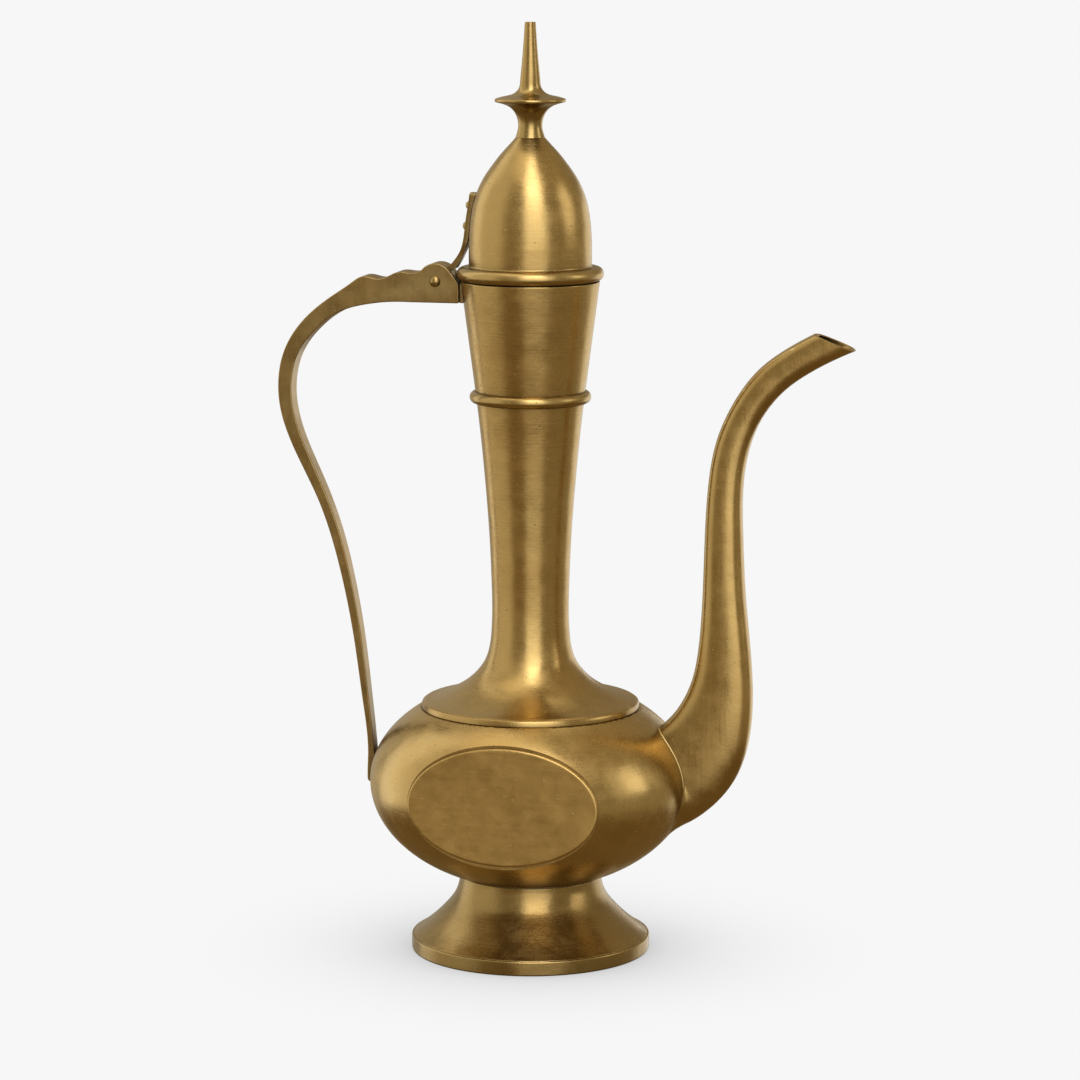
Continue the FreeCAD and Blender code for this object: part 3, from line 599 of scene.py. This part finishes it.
# ---- neck ----
def neck_lower(material):
    outer = Curve(NECK_LOWER).sampled(1.0)
    inner = inset(outer, NECK_WALL)
    top = SHOULDER_LEVEL + SHOULDER_EDGE
    rim = [(SHOULDER_RADIUS, SHOULDER_LEVEL), (SHOULDER_RADIUS, top), SHOULDER_ROUND]
    seat = [(inner[0, 0], SHOULDER_LEVEL)]
    lathe("neck_lower", [*rim, *outer, *inner[::-1], *seat], "pot", "neck_brass", material, 0.35)


def neck_upper(material):
    share = np.linspace(0, 1, 40)[:, None]
    outer = (1 - share) * (NECK_JOINT_RADIUS, BEAD_LEVEL) + share * (MOUTH_RADIUS, MOUTH_LEVEL)
    inner = outer - (NECK_WALL, 0)
    lathe("neck_upper", [*outer, *inner[::-1]], "pot", "neck_brass", material, 0.4)


def neck_bead(material):
    turn = np.radians(np.linspace(-90, 90, 25))
    reach = BEAD_RADIUS - BEAD_CENTRE
    crest = np.c_[BEAD_CENTRE + reach * np.cos(turn), BEAD_LEVEL + BEAD_HALF_HEIGHT * np.sin(turn)]
    upper, lower = BEAD_BACK
    back = [(upper, BEAD_LEVEL + BEAD_HALF_HEIGHT), (lower, BEAD_LEVEL - BEAD_HALF_HEIGHT)]
    lathe("neck_bead", [*crest, *back], "pot", "bead_brass", material, 0.15)


# ---- spout ----
def spout_line():
    """The spout's centre, half height vector and half width as one smooth curve."""
    values = []
    for upper, lower, half_width in SPOUT_SECTIONS:
        top, bottom = np.array(upper), np.array(lower)
        values.append((*(top + bottom) / 2, *(top - bottom) / 2, half_width))
    values = np.array(values)
    distances = np.r_[0, np.cumsum(np.linalg.norm(np.diff(values[:, :2], axis=0), axis=1))]
    return Curve(values, distances)


SPOUT_LINE = spout_line()
SPOUT_TURNS = 144


def full_cosine(turn):
    """Cosine of a turn round an oval with flatter sides, made of four quarters."""
    quarter = np.abs((turn + math.pi) % (2 * math.pi) - math.pi) / (math.pi / 2)
    t = np.where(quarter <= 1, quarter, 2 - quarter)
    value = (1 - t) ** 3 + 3 * t * (1 - t) ** 2 + 3 * SPOUT_FULLNESS * t ** 2 * (1 - t)
    return np.where(quarter <= 1, value, -value)


def spout_points(where, turn, grow):
    """Points at these distances and turns round the oval, grown or drawn in by grow."""
    value = SPOUT_LINE.at(where)
    half_height = value[:, 2:4]
    length = np.linalg.norm(half_height, axis=1)[:, None]
    half_height = half_height * (1 + np.reshape(grow, (-1, 1)) / length)
    xz = value[:, :2] + half_height * full_cosine(turn)[:, None]
    y = (value[:, 4] + grow) * full_cosine(turn - math.pi / 2)
    return np.stack([xz[:, 0], y, xz[:, 1]], axis=-1)


def spout_passage(rows=160, around=96):
    """Closed tube along the spout's inside, for cutting the belly open."""
    turn = np.linspace(0, 2 * math.pi, around, endpoint=False)
    grow = np.full(around, -SPOUT_WALL)
    places = np.linspace(0, SPOUT_LINE.length, rows)
    rings = [spout_points(np.full(around, place), turn, grow) for place in places]
    return np.concatenate(rings), tube_faces(rows, around)


def outside_belly(points):
    """Above 0 outside the belly's form, below 0 inside it."""
    height = np.where(points[:, 2] >= BELLY_LEVEL, BELLY_RISE, BELLY_DROP)
    level = (points[:, 2] - BELLY_LEVEL) / height
    return (points[:, 0] ** 2 + points[:, 1] ** 2) / BELLY_RADIUS ** 2 + level ** 2 - 1


def mouth_outward():
    """Unit vector out of the spout's oblique mouth."""
    along = np.array(MOUTH_TIP) - MOUTH_TOP
    along /= np.linalg.norm(along)
    return np.array([-along[1], 0, along[0]])


MOUTH_OUTWARD = mouth_outward()


def past_mouth(points):
    """Above 0 beyond the spout's mouth."""
    return (points - (MOUTH_TOP[0], 0, MOUTH_TOP[1])) @ MOUTH_OUTWARD


def crossing(turn, grow, low, high, side_of):
    """Distance along the spout where each line of its skin passes from side to side."""
    low, high = np.full(len(turn), low), np.full(len(turn), high)
    for _ in range(40):
        middle = (low + high) / 2
        beyond = side_of(spout_points(middle, turn, grow)) > 0
        high = np.where(beyond, middle, high)
        low = np.where(beyond, low, middle)
    return (low + high) / 2


def spout_root(turn, grow):
    """Where the spout's skin leaves the belly: distances along the spout, and points."""
    start = crossing(turn, grow, 0.0, SPOUT_LINE.length * 0.4, outside_belly)
    return start, spout_points(start, turn, grow)


def belly_normals(points):
    height = np.where(points[:, 2] >= BELLY_LEVEL, BELLY_RISE, BELLY_DROP)[:, None]
    squares = np.c_[np.full((len(points), 2), BELLY_RADIUS ** 2), height ** 2]
    normals = (points - (0, 0, BELLY_LEVEL)) / squares
    return normals / np.linalg.norm(normals, axis=1)[:, None]


def root_sides(root):
    """Unit vectors in the belly's surface, pointing away from the root's closed line."""
    tangent = np.roll(root, -1, axis=0) - np.roll(root, 1, axis=0)
    aside = np.cross(tangent, belly_normals(root))
    aside /= np.linalg.norm(aside, axis=1)[:, None]
    away = np.sum((root - root.mean(axis=0)) * aside, axis=1)
    return aside * np.sign(away)[:, None]


def smooth_share(values, low, high):
    """0 below low, 1 above high, and smoothly between."""
    share = np.clip((values - low) / (high - low), 0, 1)
    return share * share * (3 - 2 * share)


def root_blend(turn, start, root, steps=12):
    """Rows that carry the belly's surface over into the spout, widest below; and where they end."""
    below = 1 - smooth_share(root[:, 2], *ROOT_BLEND_LEVELS)
    reach = ROOT_BLEND_LEAST + ROOT_BLEND * below
    foot = root + root_sides(root) * reach[:, None]
    proud = outside_belly(foot) * ROOT_BLEND_SEAT * BELLY_RADIUS
    foot -= belly_normals(foot) * proud[:, None]
    end = start + reach * ROOT_BLEND_RISE
    top = spout_points(end, turn, np.zeros(len(turn)))
    rows = []
    for share in np.linspace(0, 1, steps, endpoint=False):
        rows.append((1 - share) ** 2 * foot + 2 * share * (1 - share) * root + share ** 2 * top)
    return rows, end


def spout(material, rows=300):
    """Hollow spout from the belly's surface to its oblique mouth."""
    turn = np.linspace(0, 2 * math.pi, SPOUT_TURNS, endpoint=False)
    skins = []
    for grow in (0.0, -SPOUT_WALL):
        base = np.full(SPOUT_TURNS, grow)
        start, root = spout_root(turn, base)
        skin = []
        if grow == 0:
            skin, start = root_blend(turn, start, root)
        end = crossing(turn, base, SPOUT_LINE.length * 0.8, SPOUT_LINE.length, past_mouth)
        for share in np.linspace(0, 1, rows):
            skin.append(spout_points(start + (end - start) * share, turn, base))
        skins.append(skin)
    lip = []
    for share in (0.1, 0.3, 0.5, 0.7, 0.9):
        across = skins[0][-1] * (1 - share) + skins[1][-1] * share
        lip.append(across + MOUTH_OUTWARD * LIP_CROWN * math.sin(math.pi * share))
    rings = skins[0] + lip + skins[1][::-1]
    faces = grid_faces(len(rings), SPOUT_TURNS, True, True)
    obj = piece("spout", np.concatenate(rings), faces, "pot", "spout_brass", material)
    return shaded(recalculated(obj))


def spout_root_collar(material, around=240, across=14):
    """Thin raised lip along the spout's root, strong above and fading out below."""
    turn = np.linspace(0, 2 * math.pi, around, endpoint=False)
    root = spout_root(turn, np.zeros(around))[1]
    thin, full = ROOT_LIP
    radius = (thin + (full - thin) * smooth_share(root[:, 2], *ROOT_LIP_LEVELS))[:, None]
    aside, normal = root_sides(root), belly_normals(root)
    rows = [root + radius * (math.cos(a) * aside + math.sin(a) * normal)
            for a in np.linspace(0, 2 * math.pi, across, endpoint=False)]
    faces = grid_faces(across, around, True, True)
    obj = piece("spout_root_collar", np.concatenate(rows), faces, "pot", "spout_brass", material)
    return shaded(recalculated(obj))


# ---- handle ----
def handle_outline():
    """The handle's side view as a closed line: back, scallops, hinge end, inside and foot."""
    hump = arc((PIN_X, PIN_Z), HUMP_RADIUS, HUMP_FROM, HUMP_TO, 26)
    back = Curve([*HANDLE_FOOT, *HANDLE_OUTER, *HANDLE_SCALLOPS, hump[0]]).sampled(1.0)
    brow = [hump[-1], HUMP_SHOULDER, EAR_BROW, (EAR_FRONT, SLOT_FLOOR_FRONT)]
    brow = Curve(brow).sampled(0.8)[1:]
    chin = arc((EAR_FRONT - EAR_CORNER, EAR_BOTTOM + EAR_CORNER), EAR_CORNER, 0, -90, 5)
    inside = Curve(HANDLE_INNER).sampled(1.2)
    foot_inside = [(HANDLE_INNER[-1][0], HANDLE_TOE[1])]
    between = (np.array(HANDLE_TOE) + np.array(HANDLE_FOOT[0])) / 2
    toe = [HANDLE_TOE, tuple(between - TOE_BULGE)]
    return np.array([*back, *hump[1:], *brow, *chin, *inside, *foot_inside, *toe])


def handle(material):
    outline = handle_outline()
    taper = Curve(HANDLE_TAPER, [z for z, _ in HANDLE_TAPER])
    half_width = taper.at(np.clip(outline[:, 1], HANDLE_TAPER[0][0], HANDLE_TAPER[-1][0]))[:, 1]
    half_width = np.minimum(half_width, HANDLE_HALF_WIDTH)
    count = len(outline)
    near = np.stack([outline[:, 0], -half_width, outline[:, 1]], axis=-1)
    far = near * (1, -1, 1)
    faces = [tuple(range(count)), tuple(range(2 * count - 1, count - 1, -1))]
    faces += [(i, (i + 1) % count, (i + 1) % count + count, i + count) for i in range(count)]
    obj = piece("handle", np.concatenate([near, far]), faces, "pot", "handle_brass", material)
    broken_edges(recalculated(obj), HANDLE_ROUND, 50)
    combined(obj, pin_cylinder(SLOT_RADIUS, SLOT_HALF_WIDTH))
    low = (PIN_X, -SLOT_HALF_WIDTH, SLOT_FLOOR_FRONT)
    high = (PIN_X + SLOT_REACH, SLOT_HALF_WIDTH, SLOT_FLOOR_FRONT + SLOT_REACH)
    combined(obj, block(low, high))
    combined(obj, pin_cylinder(PIN_RADIUS, PIN_BORE_REACH))
    return shaded(obj)


def neck_lug(material):
    """Saddle between the ears and the neck, with broken edges."""
    low = (EAR_FRONT, -LUG_HALF_WIDTH, EAR_BOTTOM)
    high = (LUG_BACK, LUG_HALF_WIDTH, LUG_TOP)
    obj = recalculated(piece("neck_lug", *block(low, high), "pot", "handle_brass", material))
    levels = (EAR_BOTTOM - 2, LUG_TOP + 1)
    skin = [(NECK_JOINT_RADIUS + NECK_SLOPE * (z - BEAD_LEVEL) - LUG_SINK, z) for z in levels]
    combined(obj, turned([(0, levels[0]), *skin, (0, levels[1])], 180))
    broken_edges(obj, LUG_ROUND, 60)
    return shaded(obj)


def domed_profile(radius, height, base, steps=14):
    """Half of a dome's section from its rim to its top, standing on base."""
    ball = (radius ** 2 + height ** 2) / (2 * height)
    reach = math.degrees(math.asin(min(1.0, radius / ball)))
    dome = arc((0, base + height - ball), ball, 90 - reach, 90, steps)
    dome[-1, 0] = 0.0
    return [tuple(p) for p in dome]


def hinge_pin(material):
    """Pin with two domed heads, turned and then laid down along Y."""
    upper = domed_profile(PIN_HEAD_RADIUS, PIN_HEAD_HEIGHT, HANDLE_HALF_WIDTH)
    rim = [(PIN_RADIUS, HANDLE_HALF_WIDTH), (PIN_HEAD_RADIUS, HANDLE_HALF_WIDTH)]
    half = rim + upper[1:]
    vertices, faces = turned([(r, -y) for r, y in half[::-1]] + half, 96)
    x, y, z = np.array(vertices, float).T
    vertices = np.c_[PIN_X + x, z, PIN_Z + y]
    return shaded(recalculated(piece("hinge_pin", vertices, faces, "pot", "pin_brass", material)))


# ---- lid ----
def lid_dome(material):
    outer = Curve(DOME).sampled(0.8)
    inner = inset(outer, DOME_WALL)
    bore = STUD_RADIUS + STUD_CLEARANCE
    inner = inner[inner[:, 1] < CROWN_UNDERSIDE]
    crown = [(bore, DOME_TOP), (bore, CROWN_UNDERSIDE)]
    foot = [(DOME_RADIUS - DOME_WALL, LID_LEVEL), (DOME_RADIUS, LID_LEVEL)]
    lathe("lid_dome", [*outer, *crown, *inner[::-1], *foot], "lid", "lid_brass", material)


def lid_ring(material):
    half = LID_RING_HEIGHT / 2
    top = LID_LEVEL + LID_RING_HEIGHT
    roll = arc((LID_RING_RADIUS - half, LID_LEVEL + half), half, -90, 90, 30)
    hollow_centre = (DOME_RADIUS + LID_RING_HOLLOW, top + LID_RING_HOLLOW)
    hollow = arc(hollow_centre, LID_RING_HOLLOW, 270, 180, 8)
    profile = [(DOME_RADIUS, LID_LEVEL), *roll, *hollow]
    lathe("lid_ring", profile, "lid", "bead_brass", material, 0.15)


def lid_inner_collar(material):
    """Sleeve with a flange; its outer face follows the neck's bore."""
    top = MOUTH_RADIUS - NECK_WALL - COLLAR_GAP
    foot = top - NECK_SLOPE * COLLAR_DEPTH
    low = LID_LEVEL - COLLAR_DEPTH
    bore = DOME_RADIUS - DOME_WALL
    inward, downward = COLLAR_SHOULDER
    profile = [(top, LID_LEVEL), (foot, low), (foot - COLLAR_WALL, low),
               (top - inward, LID_LEVEL - downward), (bore, LID_LEVEL - COLLAR_FLANGE),
               (bore, LID_LEVEL)]
    lathe("lid_inner_collar", profile, "lid", "inner_brass", material, 0.3)


def finial(material):
    stem = Curve(FINIAL_STEM).sampled(0.45)
    spire = Curve(FINIAL_SPIRE).sampled(0.5)
    rim_level = (stem[-1][1] + spire[0][1]) / 2
    swell = np.radians(np.linspace(-75, 75, 9))
    edge = np.c_[FINIAL_DISC_RADIUS + FINIAL_RIM_CROWN * np.cos(swell),
                 rim_level + (spire[0][1] - rim_level) * np.sin(swell)]
    stud_low = DOME_TOP - STUD_LENGTH
    stud = [(0, stud_low), (STUD_RADIUS, stud_low), (STUD_RADIUS, DOME_TOP)]
    profile = [*stud, *stem, *edge, *spire, (0, TIP_LEVEL)]
    lathe("finial", profile, "lid", "finial_brass", material, 0.5)


def finial_rove(material):
    bore = STUD_RADIUS + STUD_CLEARANCE
    low = CROWN_UNDERSIDE - ROVE_THICKNESS
    high = CROWN_UNDERSIDE
    profile = [(bore, low), (ROVE_RADIUS, low), (ROVE_RADIUS, high), (bore, high)]
    lathe("finial_rove", profile, "lid", "inner_brass", material, 0.2, 96)


def finial_nut(material):
    """Hexagonal nut with its corners chamfered."""
    high = CROWN_UNDERSIDE - ROVE_THICKNESS
    low = high - NUT_HEIGHT
    reach = NUT_ACROSS_FLATS / 2 / math.cos(math.radians(30))
    turn = np.radians(60 * np.arange(6))
    hexagon = [(reach * math.cos(a), reach * math.sin(a), z) for z in (low, high) for a in turn]
    obj = piece("finial_nut", hexagon, tube_faces(2, 6), "lid", "inner_brass", material)
    outside = reach + 0.2
    chamfer = [(0, low), (reach - NUT_CHAMFER, low), (outside, low + NUT_CHAMFER), (outside, high),
               (0, high)]
    combined(recalculated(obj), turned(chamfer, 96), "INTERSECT")
    bore = [(0, low - 1), (STUD_RADIUS, low - 1), (STUD_RADIUS, high + 1), (0, high + 1)]
    combined(obj, turned(bore, 96))
    return shaded(obj)


def strap_sections():
    """The lid strap's inner point, outer point and half width, from the knuckle upwards."""
    root = np.array([PIN_X, PIN_Z + STRAP_ROOT])
    inner, outer = np.array(STRAP_INNER), np.array(STRAP_OUTER)
    steps = np.arange(len(inner), dtype=float)
    inner_line, outer_line = Curve(inner, steps), Curve(outer, steps)
    narrow = KNUCKLE_HALF_WIDTH - STRAP_GAP
    sections = []
    for share in (0.35, 0.6, 0.8):
        low_inner, low_outer = root + (inner[0] - root) * share, root + (outer[0] - root) * share
        sections.append((low_inner, low_outer, narrow))
    for step in np.linspace(0, steps[-1], 160):
        on_inner, on_outer = inner_line.at(step)[0], outer_line.at(step)[0]
        z = (on_inner[1] + on_outer[1]) / 2
        rise = smooth_share(z, STRAP_NARROW_BELOW, STRAP_WIDE_ABOVE)
        half_width = narrow + (STRAP_HALF_WIDTH - KNUCKLE_HALF_WIDTH) * rise
        in_corner = min(max(z - (STRAP_TOP - STRAP_CORNER), 0) / STRAP_CORNER, 1)
        half_width -= STRAP_CORNER * (1 - math.sqrt(1 - in_corner ** 2))
        sections.append((on_inner, on_outer, half_width))
    return sections


def lid_strap(material):
    rows = []
    for inner, outer, half_width in strap_sections():
        thickness = np.linalg.norm(outer - inner)
        across = (outer - inner) / thickness
        edge = min(STRAP_ROUND, half_width * 0.4)
        left, right = -half_width, half_width
        corners = [(left, 0), (right, 0), (right, thickness), (left, thickness)]
        outline = softened(corners, edge, steps=3)
        rows.append([(inner[0] + across[0] * t, y, inner[1] + across[1] * t) for y, t in outline])
    faces = tube_faces(len(rows), len(rows[0]))
    obj = piece("lid_strap", np.concatenate(rows), faces, "lid", "handle_brass", material)
    knuckle = pin_cylinder(KNUCKLE_RADIUS, KNUCKLE_HALF_WIDTH, KNUCKLE_CHAMFER)
    combined(recalculated(obj), knuckle, "UNION")
    combined(obj, pin_cylinder(PIN_RADIUS + PIN_RUNNING_CLEARANCE, HANDLE_HALF_WIDTH))
    return shaded(obj)


def lid_strap_rivets(material):
    """Two rivets: a domed head on the strap and a set-down tail inside the dome for each."""
    vertices, faces = [], []
    for x, z, tilt in RIVET_PLACES:
        lean = math.radians(tilt)
        outward = Vector((-math.cos(lean), 0, math.sin(lean)))
        seat = Vector((x, 0, z))
        head = (seat - outward * RIVET_SEAT, outward, RIVET_HEAD_HEIGHT + RIVET_SEAT)
        tail = (seat - outward * RIVET_TAIL_DEPTH, -outward, RIVET_TAIL_HEIGHT)
        for centre, direction, height in (head, tail):
            profile = [(0, 0)] + domed_profile(RIVET_HEAD_RADIUS, height, 0)
            points, dome_faces = turned(profile, 64)
            upright = direction.to_track_quat("Z", "Y")
            start = len(vertices)
            vertices += [tuple(centre + upright @ Vector(p)) for p in points]
            faces += [tuple(start + i for i in face) for face in dome_faces]
    obj = piece("lid_strap_rivets", vertices, faces, "lid", "pin_brass", material)
    return shaded(recalculated(obj))


# ---- materials ----
class Shader:
    """Short names for the nodes a material is made of."""

    def __init__(self, tree):
        self.tree = tree
        tree.nodes.clear()

    def node(self, kind, inputs=None, **settings):
        made = self.tree.nodes.new("ShaderNode" + kind)
        for key, value in settings.items():
            setattr(made, key, value)
        for key, value in (inputs or {}).items():
            self.feed(made.inputs[key], value)
        return made

    def feed(self, socket, value):
        if isinstance(value, bpy.types.NodeSocket):
            self.tree.links.new(value, socket)
        else:
            socket.default_value = value

    def maths(self, operation, a, b=0.0):
        return self.node("Math", {0: a, 1: b}, operation=operation).outputs[0]

    def times(self, a, b):
        return self.maths("MULTIPLY", a, b)

    def spread(self, value, low, high, bottom=0.0, top=1.0):
        """Value taken smoothly from low..high to bottom..top."""
        limits = {"From Min": low, "From Max": high, "To Min": bottom, "To Max": top}
        made = self.node("MapRange", {"Value": value, **limits}, interpolation_type="SMOOTHSTEP")
        return made.outputs[0]

    def mix(self, share, a, b, blend="MIX"):
        made = self.node("Mix", {0: share, 6: a, 7: b}, data_type="RGBA", blend_type=blend)
        return made.outputs[2]

    def grey(self, value):
        return self.node("CombineColor", {0: value, 1: value, 2: value}).outputs[0]

    def dimmed(self, tone, share):
        """The colour multiplied by a share."""
        return self.mix(1.0, tone, self.grey(share), "MULTIPLY")

    def openness(self, reach, samples=6):
        """1 where nothing stands within reach, down to 0 in a closed corner."""
        made = self.node("AmbientOcclusion", {"Distance": reach}, samples=samples)
        return made.outputs["AO"]

    def noise(self, vector, scale, detail=2.0, roughness=0.5):
        wanted = {"Vector": vector, "Scale": scale, "Detail": detail, "Roughness": roughness}
        return self.node("TexNoise", wanted).outputs["Fac"]


def colour(red, green, blue):
    return (red, green, blue, 1.0)


def grain_vector(shader, place, grain):
    """Coordinates that are fine across the tool marks and long along them."""
    if grain != "turned":
        stretch = {"upright": (ACROSS_MARKS, ACROSS_MARKS, ALONG_MARKS),
                   "level": (ALONG_MARKS, ACROSS_MARKS, ACROSS_MARKS)}[grain]
        return shader.node("VectorMath", {0: place, 1: stretch}, operation="MULTIPLY").outputs[0]
    x, y, z = shader.node("SeparateXYZ", {0: place}).outputs
    radius = shader.maths("SQRT", shader.maths("ADD", shader.times(x, x), shader.times(y, y)))
    along = shader.times(shader.maths("ARCTAN2", y, x), ROUND_MARKS)
    outward = shader.times(radius, TURNED_MARKS)
    upward = shader.times(z, TURNED_MARKS)
    return shader.node("CombineXYZ", {0: outward, 1: along, 2: upward}).outputs[0]


def brass(name, tone, polish, stained, dents=0.25, wear_and_glint=0.5, shade_in_corners=0.6, grain="turned"):
    """Old brass: warm stains, tool marks, pits, painted shade in shelter and crevices, and worn edges
    that are also a painted highlight.
    """
    material = bpy.data.materials.new(name)
    material.use_nodes = True
    shader = Shader(material.node_tree)
    place = shader.node("TexCoord").outputs["Object"]

    clouds = shader.noise(place, CLOUD_SCALE, 4.0, 0.6)
    mottle = shader.noise(place, MOTTLE_SCALE, 5.0, 0.65)
    marks = shader.noise(grain_vector(shader, place, grain), 1.0, 3.0, 0.6)
    pits = shader.spread(shader.noise(place, SPECK_SCALE, 2.0, 0.5), 0.71, 0.79)

    cloudy = shader.maths("ADD", clouds, shader.times(mottle, 0.25))
    cloudy = shader.times(shader.spread(cloudy, 0.55, 0.82), stained)
    metal = shader.mix(cloudy, colour(*tone), colour(*STAIN))
    metal = shader.dimmed(metal, shader.spread(mottle, 0.25, 0.75, 0.93, 1.06))
    # Painted shade: darker where other metal stands near, as under the belly and in the spout's
    # crotch.
    shelter_shade = shader.spread(shader.openness(SHELTER_SHADE_REACH), 0.35, 1.0, SHELTER_SHADE_TONE, 1.0)
    metal = shader.dimmed(metal, shelter_shade)
    # Painted shade: a dark line in crevices and at joints between parts, its strength set per
    # material.
    crevice_shade = shader.spread(shader.openness(CREVICE_SHADE_REACH), 0.25, 0.7, shade_in_corners, 0.0)
    metal = shader.mix(crevice_shade, metal, colour(*PIT_AND_SHADE))
    metal = shader.mix(shader.times(pits, 0.3), metal, colour(*PIT_AND_SHADE))
    # Edges lighter: partly worn metal, partly a painted highlight.
    pointed = shader.node("NewGeometry").outputs["Pointiness"]
    edges = shader.spread(pointed, 0.515, 0.58, 0.0, wear_and_glint)
    metal = shader.mix(edges, metal, colour(*WORN_AND_GLINT))

    dull = shader.spread(mottle, 0.3, 0.75, polish - 0.045, polish + 0.07)
    dull = shader.maths("ADD", dull, shader.spread(marks, 0.3, 0.7, -0.025, 0.025))
    dull = shader.maths("ADD", dull, shader.times(crevice_shade, 0.25))
    dull = shader.maths("SUBTRACT", dull, shader.times(edges, 0.08))

    dented = shader.noise(place, DENT_SCALE, 2.0, 0.45)
    heights = shader.times(dented, dents * DENT_HEIGHT)
    heights = shader.maths("ADD", heights, shader.times(mottle, MOTTLE_HEIGHT))
    heights = shader.maths("ADD", heights, shader.times(marks, MARK_HEIGHT))
    heights = shader.maths("SUBTRACT", heights, shader.times(pits, PIT_DEPTH))
    relief = {"Height": heights, "Strength": 1.0, "Distance": 1.0}
    bump = shader.node("Bump", relief).outputs[0]

    look = {"Base Color": metal, "Metallic": 1.0, "Roughness": dull, "Normal": bump}
    surface = shader.node("BsdfPrincipled", look)
    shader.node("OutputMaterial", {"Surface": surface.outputs[0]})
    return material


def foot_metal():
    return brass("foot brass", (0.52, 0.355, 0.135), 0.26, stained=0.5, dents=0.2)


def belly_metal():
    return brass("belly brass", (0.66, 0.46, 0.18), 0.27, stained=0.4, dents=0.2, wear_and_glint=0.0,
                 shade_in_corners=0.15)


def medallion_metal():
    return brass("medallion brass", (0.66, 0.445, 0.16), 0.36, stained=0.3, dents=0.08, wear_and_glint=1.0,
                 shade_in_corners=0.0, grain="level")


def neck_metal():
    return brass("neck brass", BRASS, 0.28, stained=0.4, dents=0.2, wear_and_glint=0.9, shade_in_corners=0.35)


def bead_metal():
    return brass("bead and lid ring brass", (0.58, 0.41, 0.16), 0.28, stained=0.3)


def spout_metal():
    return brass("spout brass", BRASS, 0.28, stained=0.35, dents=0.15, wear_and_glint=1.0, shade_in_corners=0.3,
                 grain="upright")


def handle_metal():
    return brass("handle brass", (0.43, 0.30, 0.125), 0.33, stained=0.4, grain="upright")


def pin_metal():
    return brass("pin and rivet brass", (0.52, 0.37, 0.15), 0.3, stained=0.2, grain="level")


def lid_metal():
    return brass("lid brass", BRASS, 0.28, stained=0.4, dents=0.2)


def finial_metal():
    return brass("finial brass", (0.55, 0.385, 0.15), 0.28, stained=0.3)


def inner_metal():
    return brass("unpolished inner brass", (0.42, 0.29, 0.12), 0.48, stained=0.7, wear_and_glint=0.2)


# ---- studio ----
def studio_light():
    """Soft panels round the pot, seen only in its metal; the camera itself sees plain pale grey."""
    world = bpy.data.worlds.new("studio")
    world.use_nodes = True
    bpy.context.scene.world = world
    shader = Shader(world.node_tree)
    towards = shader.node("TexCoord").outputs["Generated"]
    x, y, z = shader.node("SeparateXYZ", {0: towards}).outputs
    bearing = shader.maths("DEGREES", shader.maths("ARCTAN2", x, shader.times(y, -1.0)))
    bearing = shader.maths("SUBTRACT", bearing, VIEW_BEARING)
    height = shader.maths("DEGREES", shader.maths("ARCSINE", z))

    light = colour(*SURROUNDINGS)
    for middle, half, low, high, soft, tint in PANELS:
        away = shader.maths("ABSOLUTE", shader.maths("SUBTRACT", bearing, middle))
        share = shader.spread(away, half + soft, half - soft)
        share = shader.times(share, shader.spread(height, low - soft, low + soft))
        share = shader.times(share, shader.spread(height, high + soft, high - soft))
        light = shader.mix(share, light, colour(*tint))

    path = shader.node("LightPath").outputs
    light = shader.dimmed(light, shader.spread(path["Ray Depth"], 2.0, 3.0, 1.0, MIRRORED_TWICE))
    shown = shader.mix(path["Is Camera Ray"], light, colour(PALE, PALE, PALE))
    background = shader.node("Background", {"Color": shown, "Strength": 1.0})
    shader.node("OutputWorld", {"Surface": background.outputs[0]})


def floor():
    """Pale floor with only a soft contact shadow."""
    side = FLOOR_SIDE
    corners = [(-side, -side, 0), (side, -side, 0), (side, side, 0), (-side, side, 0)]
    obj = mesh_object("floor", corners, [(0, 1, 2, 3)])
    material = bpy.data.materials.new("pale floor")
    material.use_nodes = True
    shader = Shader(material.node_tree)
    near = shader.openness(SHADOW_REACH, samples=24)
    shade = shader.times(shader.spread(near, 0.0, 1.0, SHADOW_TONE, 1.0), PALE)
    glow = shader.node("Emission", {"Color": shader.grey(shade)})
    shader.node("OutputMaterial", {"Surface": glow.outputs[0]})
    obj.data.materials.append(material)
    obj.visible_glossy = False


def camera():
    data = bpy.data.cameras.new("camera")
    data.lens = LENS
    data.sensor_width = SENSOR_WIDTH
    obj = bpy.data.objects.new("camera", data)
    obj.location = CAMERA_PLACE
    towards = Vector(CAMERA_TARGET) - Vector(CAMERA_PLACE)
    obj.rotation_euler = towards.to_track_quat("-Z", "Y").to_euler()
    bpy.context.scene.collection.objects.link(obj)
    bpy.context.scene.camera = obj


# ---- the pot ----
def pot():
    foot, belly, neck, bead = foot_metal(), belly_metal(), neck_metal(), bead_metal()
    foot_base_ring(foot)
    foot_skirt(foot)
    belly_bowl("belly_lower_detail", "belly_lower_bowl", False, belly)
    belly_bowl("belly_upper_detail", "belly_upper_bowl", True, belly)
    plate = medallion_metal()
    medallion("medallion_front", -1, plate)
    medallion("medallion_back", 1, plate)
    neck_lower(neck)
    neck_upper(neck)
    neck_bead(bead)
    pipe, strap, pins = spout_metal(), handle_metal(), pin_metal()
    spout(pipe)
    spout_root_collar(pipe)
    handle(strap)
    neck_lug(strap)
    hinge_pin(pins)
    inner = inner_metal()
    lid_dome(lid_metal())
    lid_ring(bead)
    lid_inner_collar(inner)
    finial(finial_metal())
    finial_rove(inner)
    finial_nut(inner)
    lid_strap(strap)
    lid_strap_rivets(pins)


pot()
studio_light()
floor()
camera()
bpy.context.scene.view_settings.view_transform = "Standard"
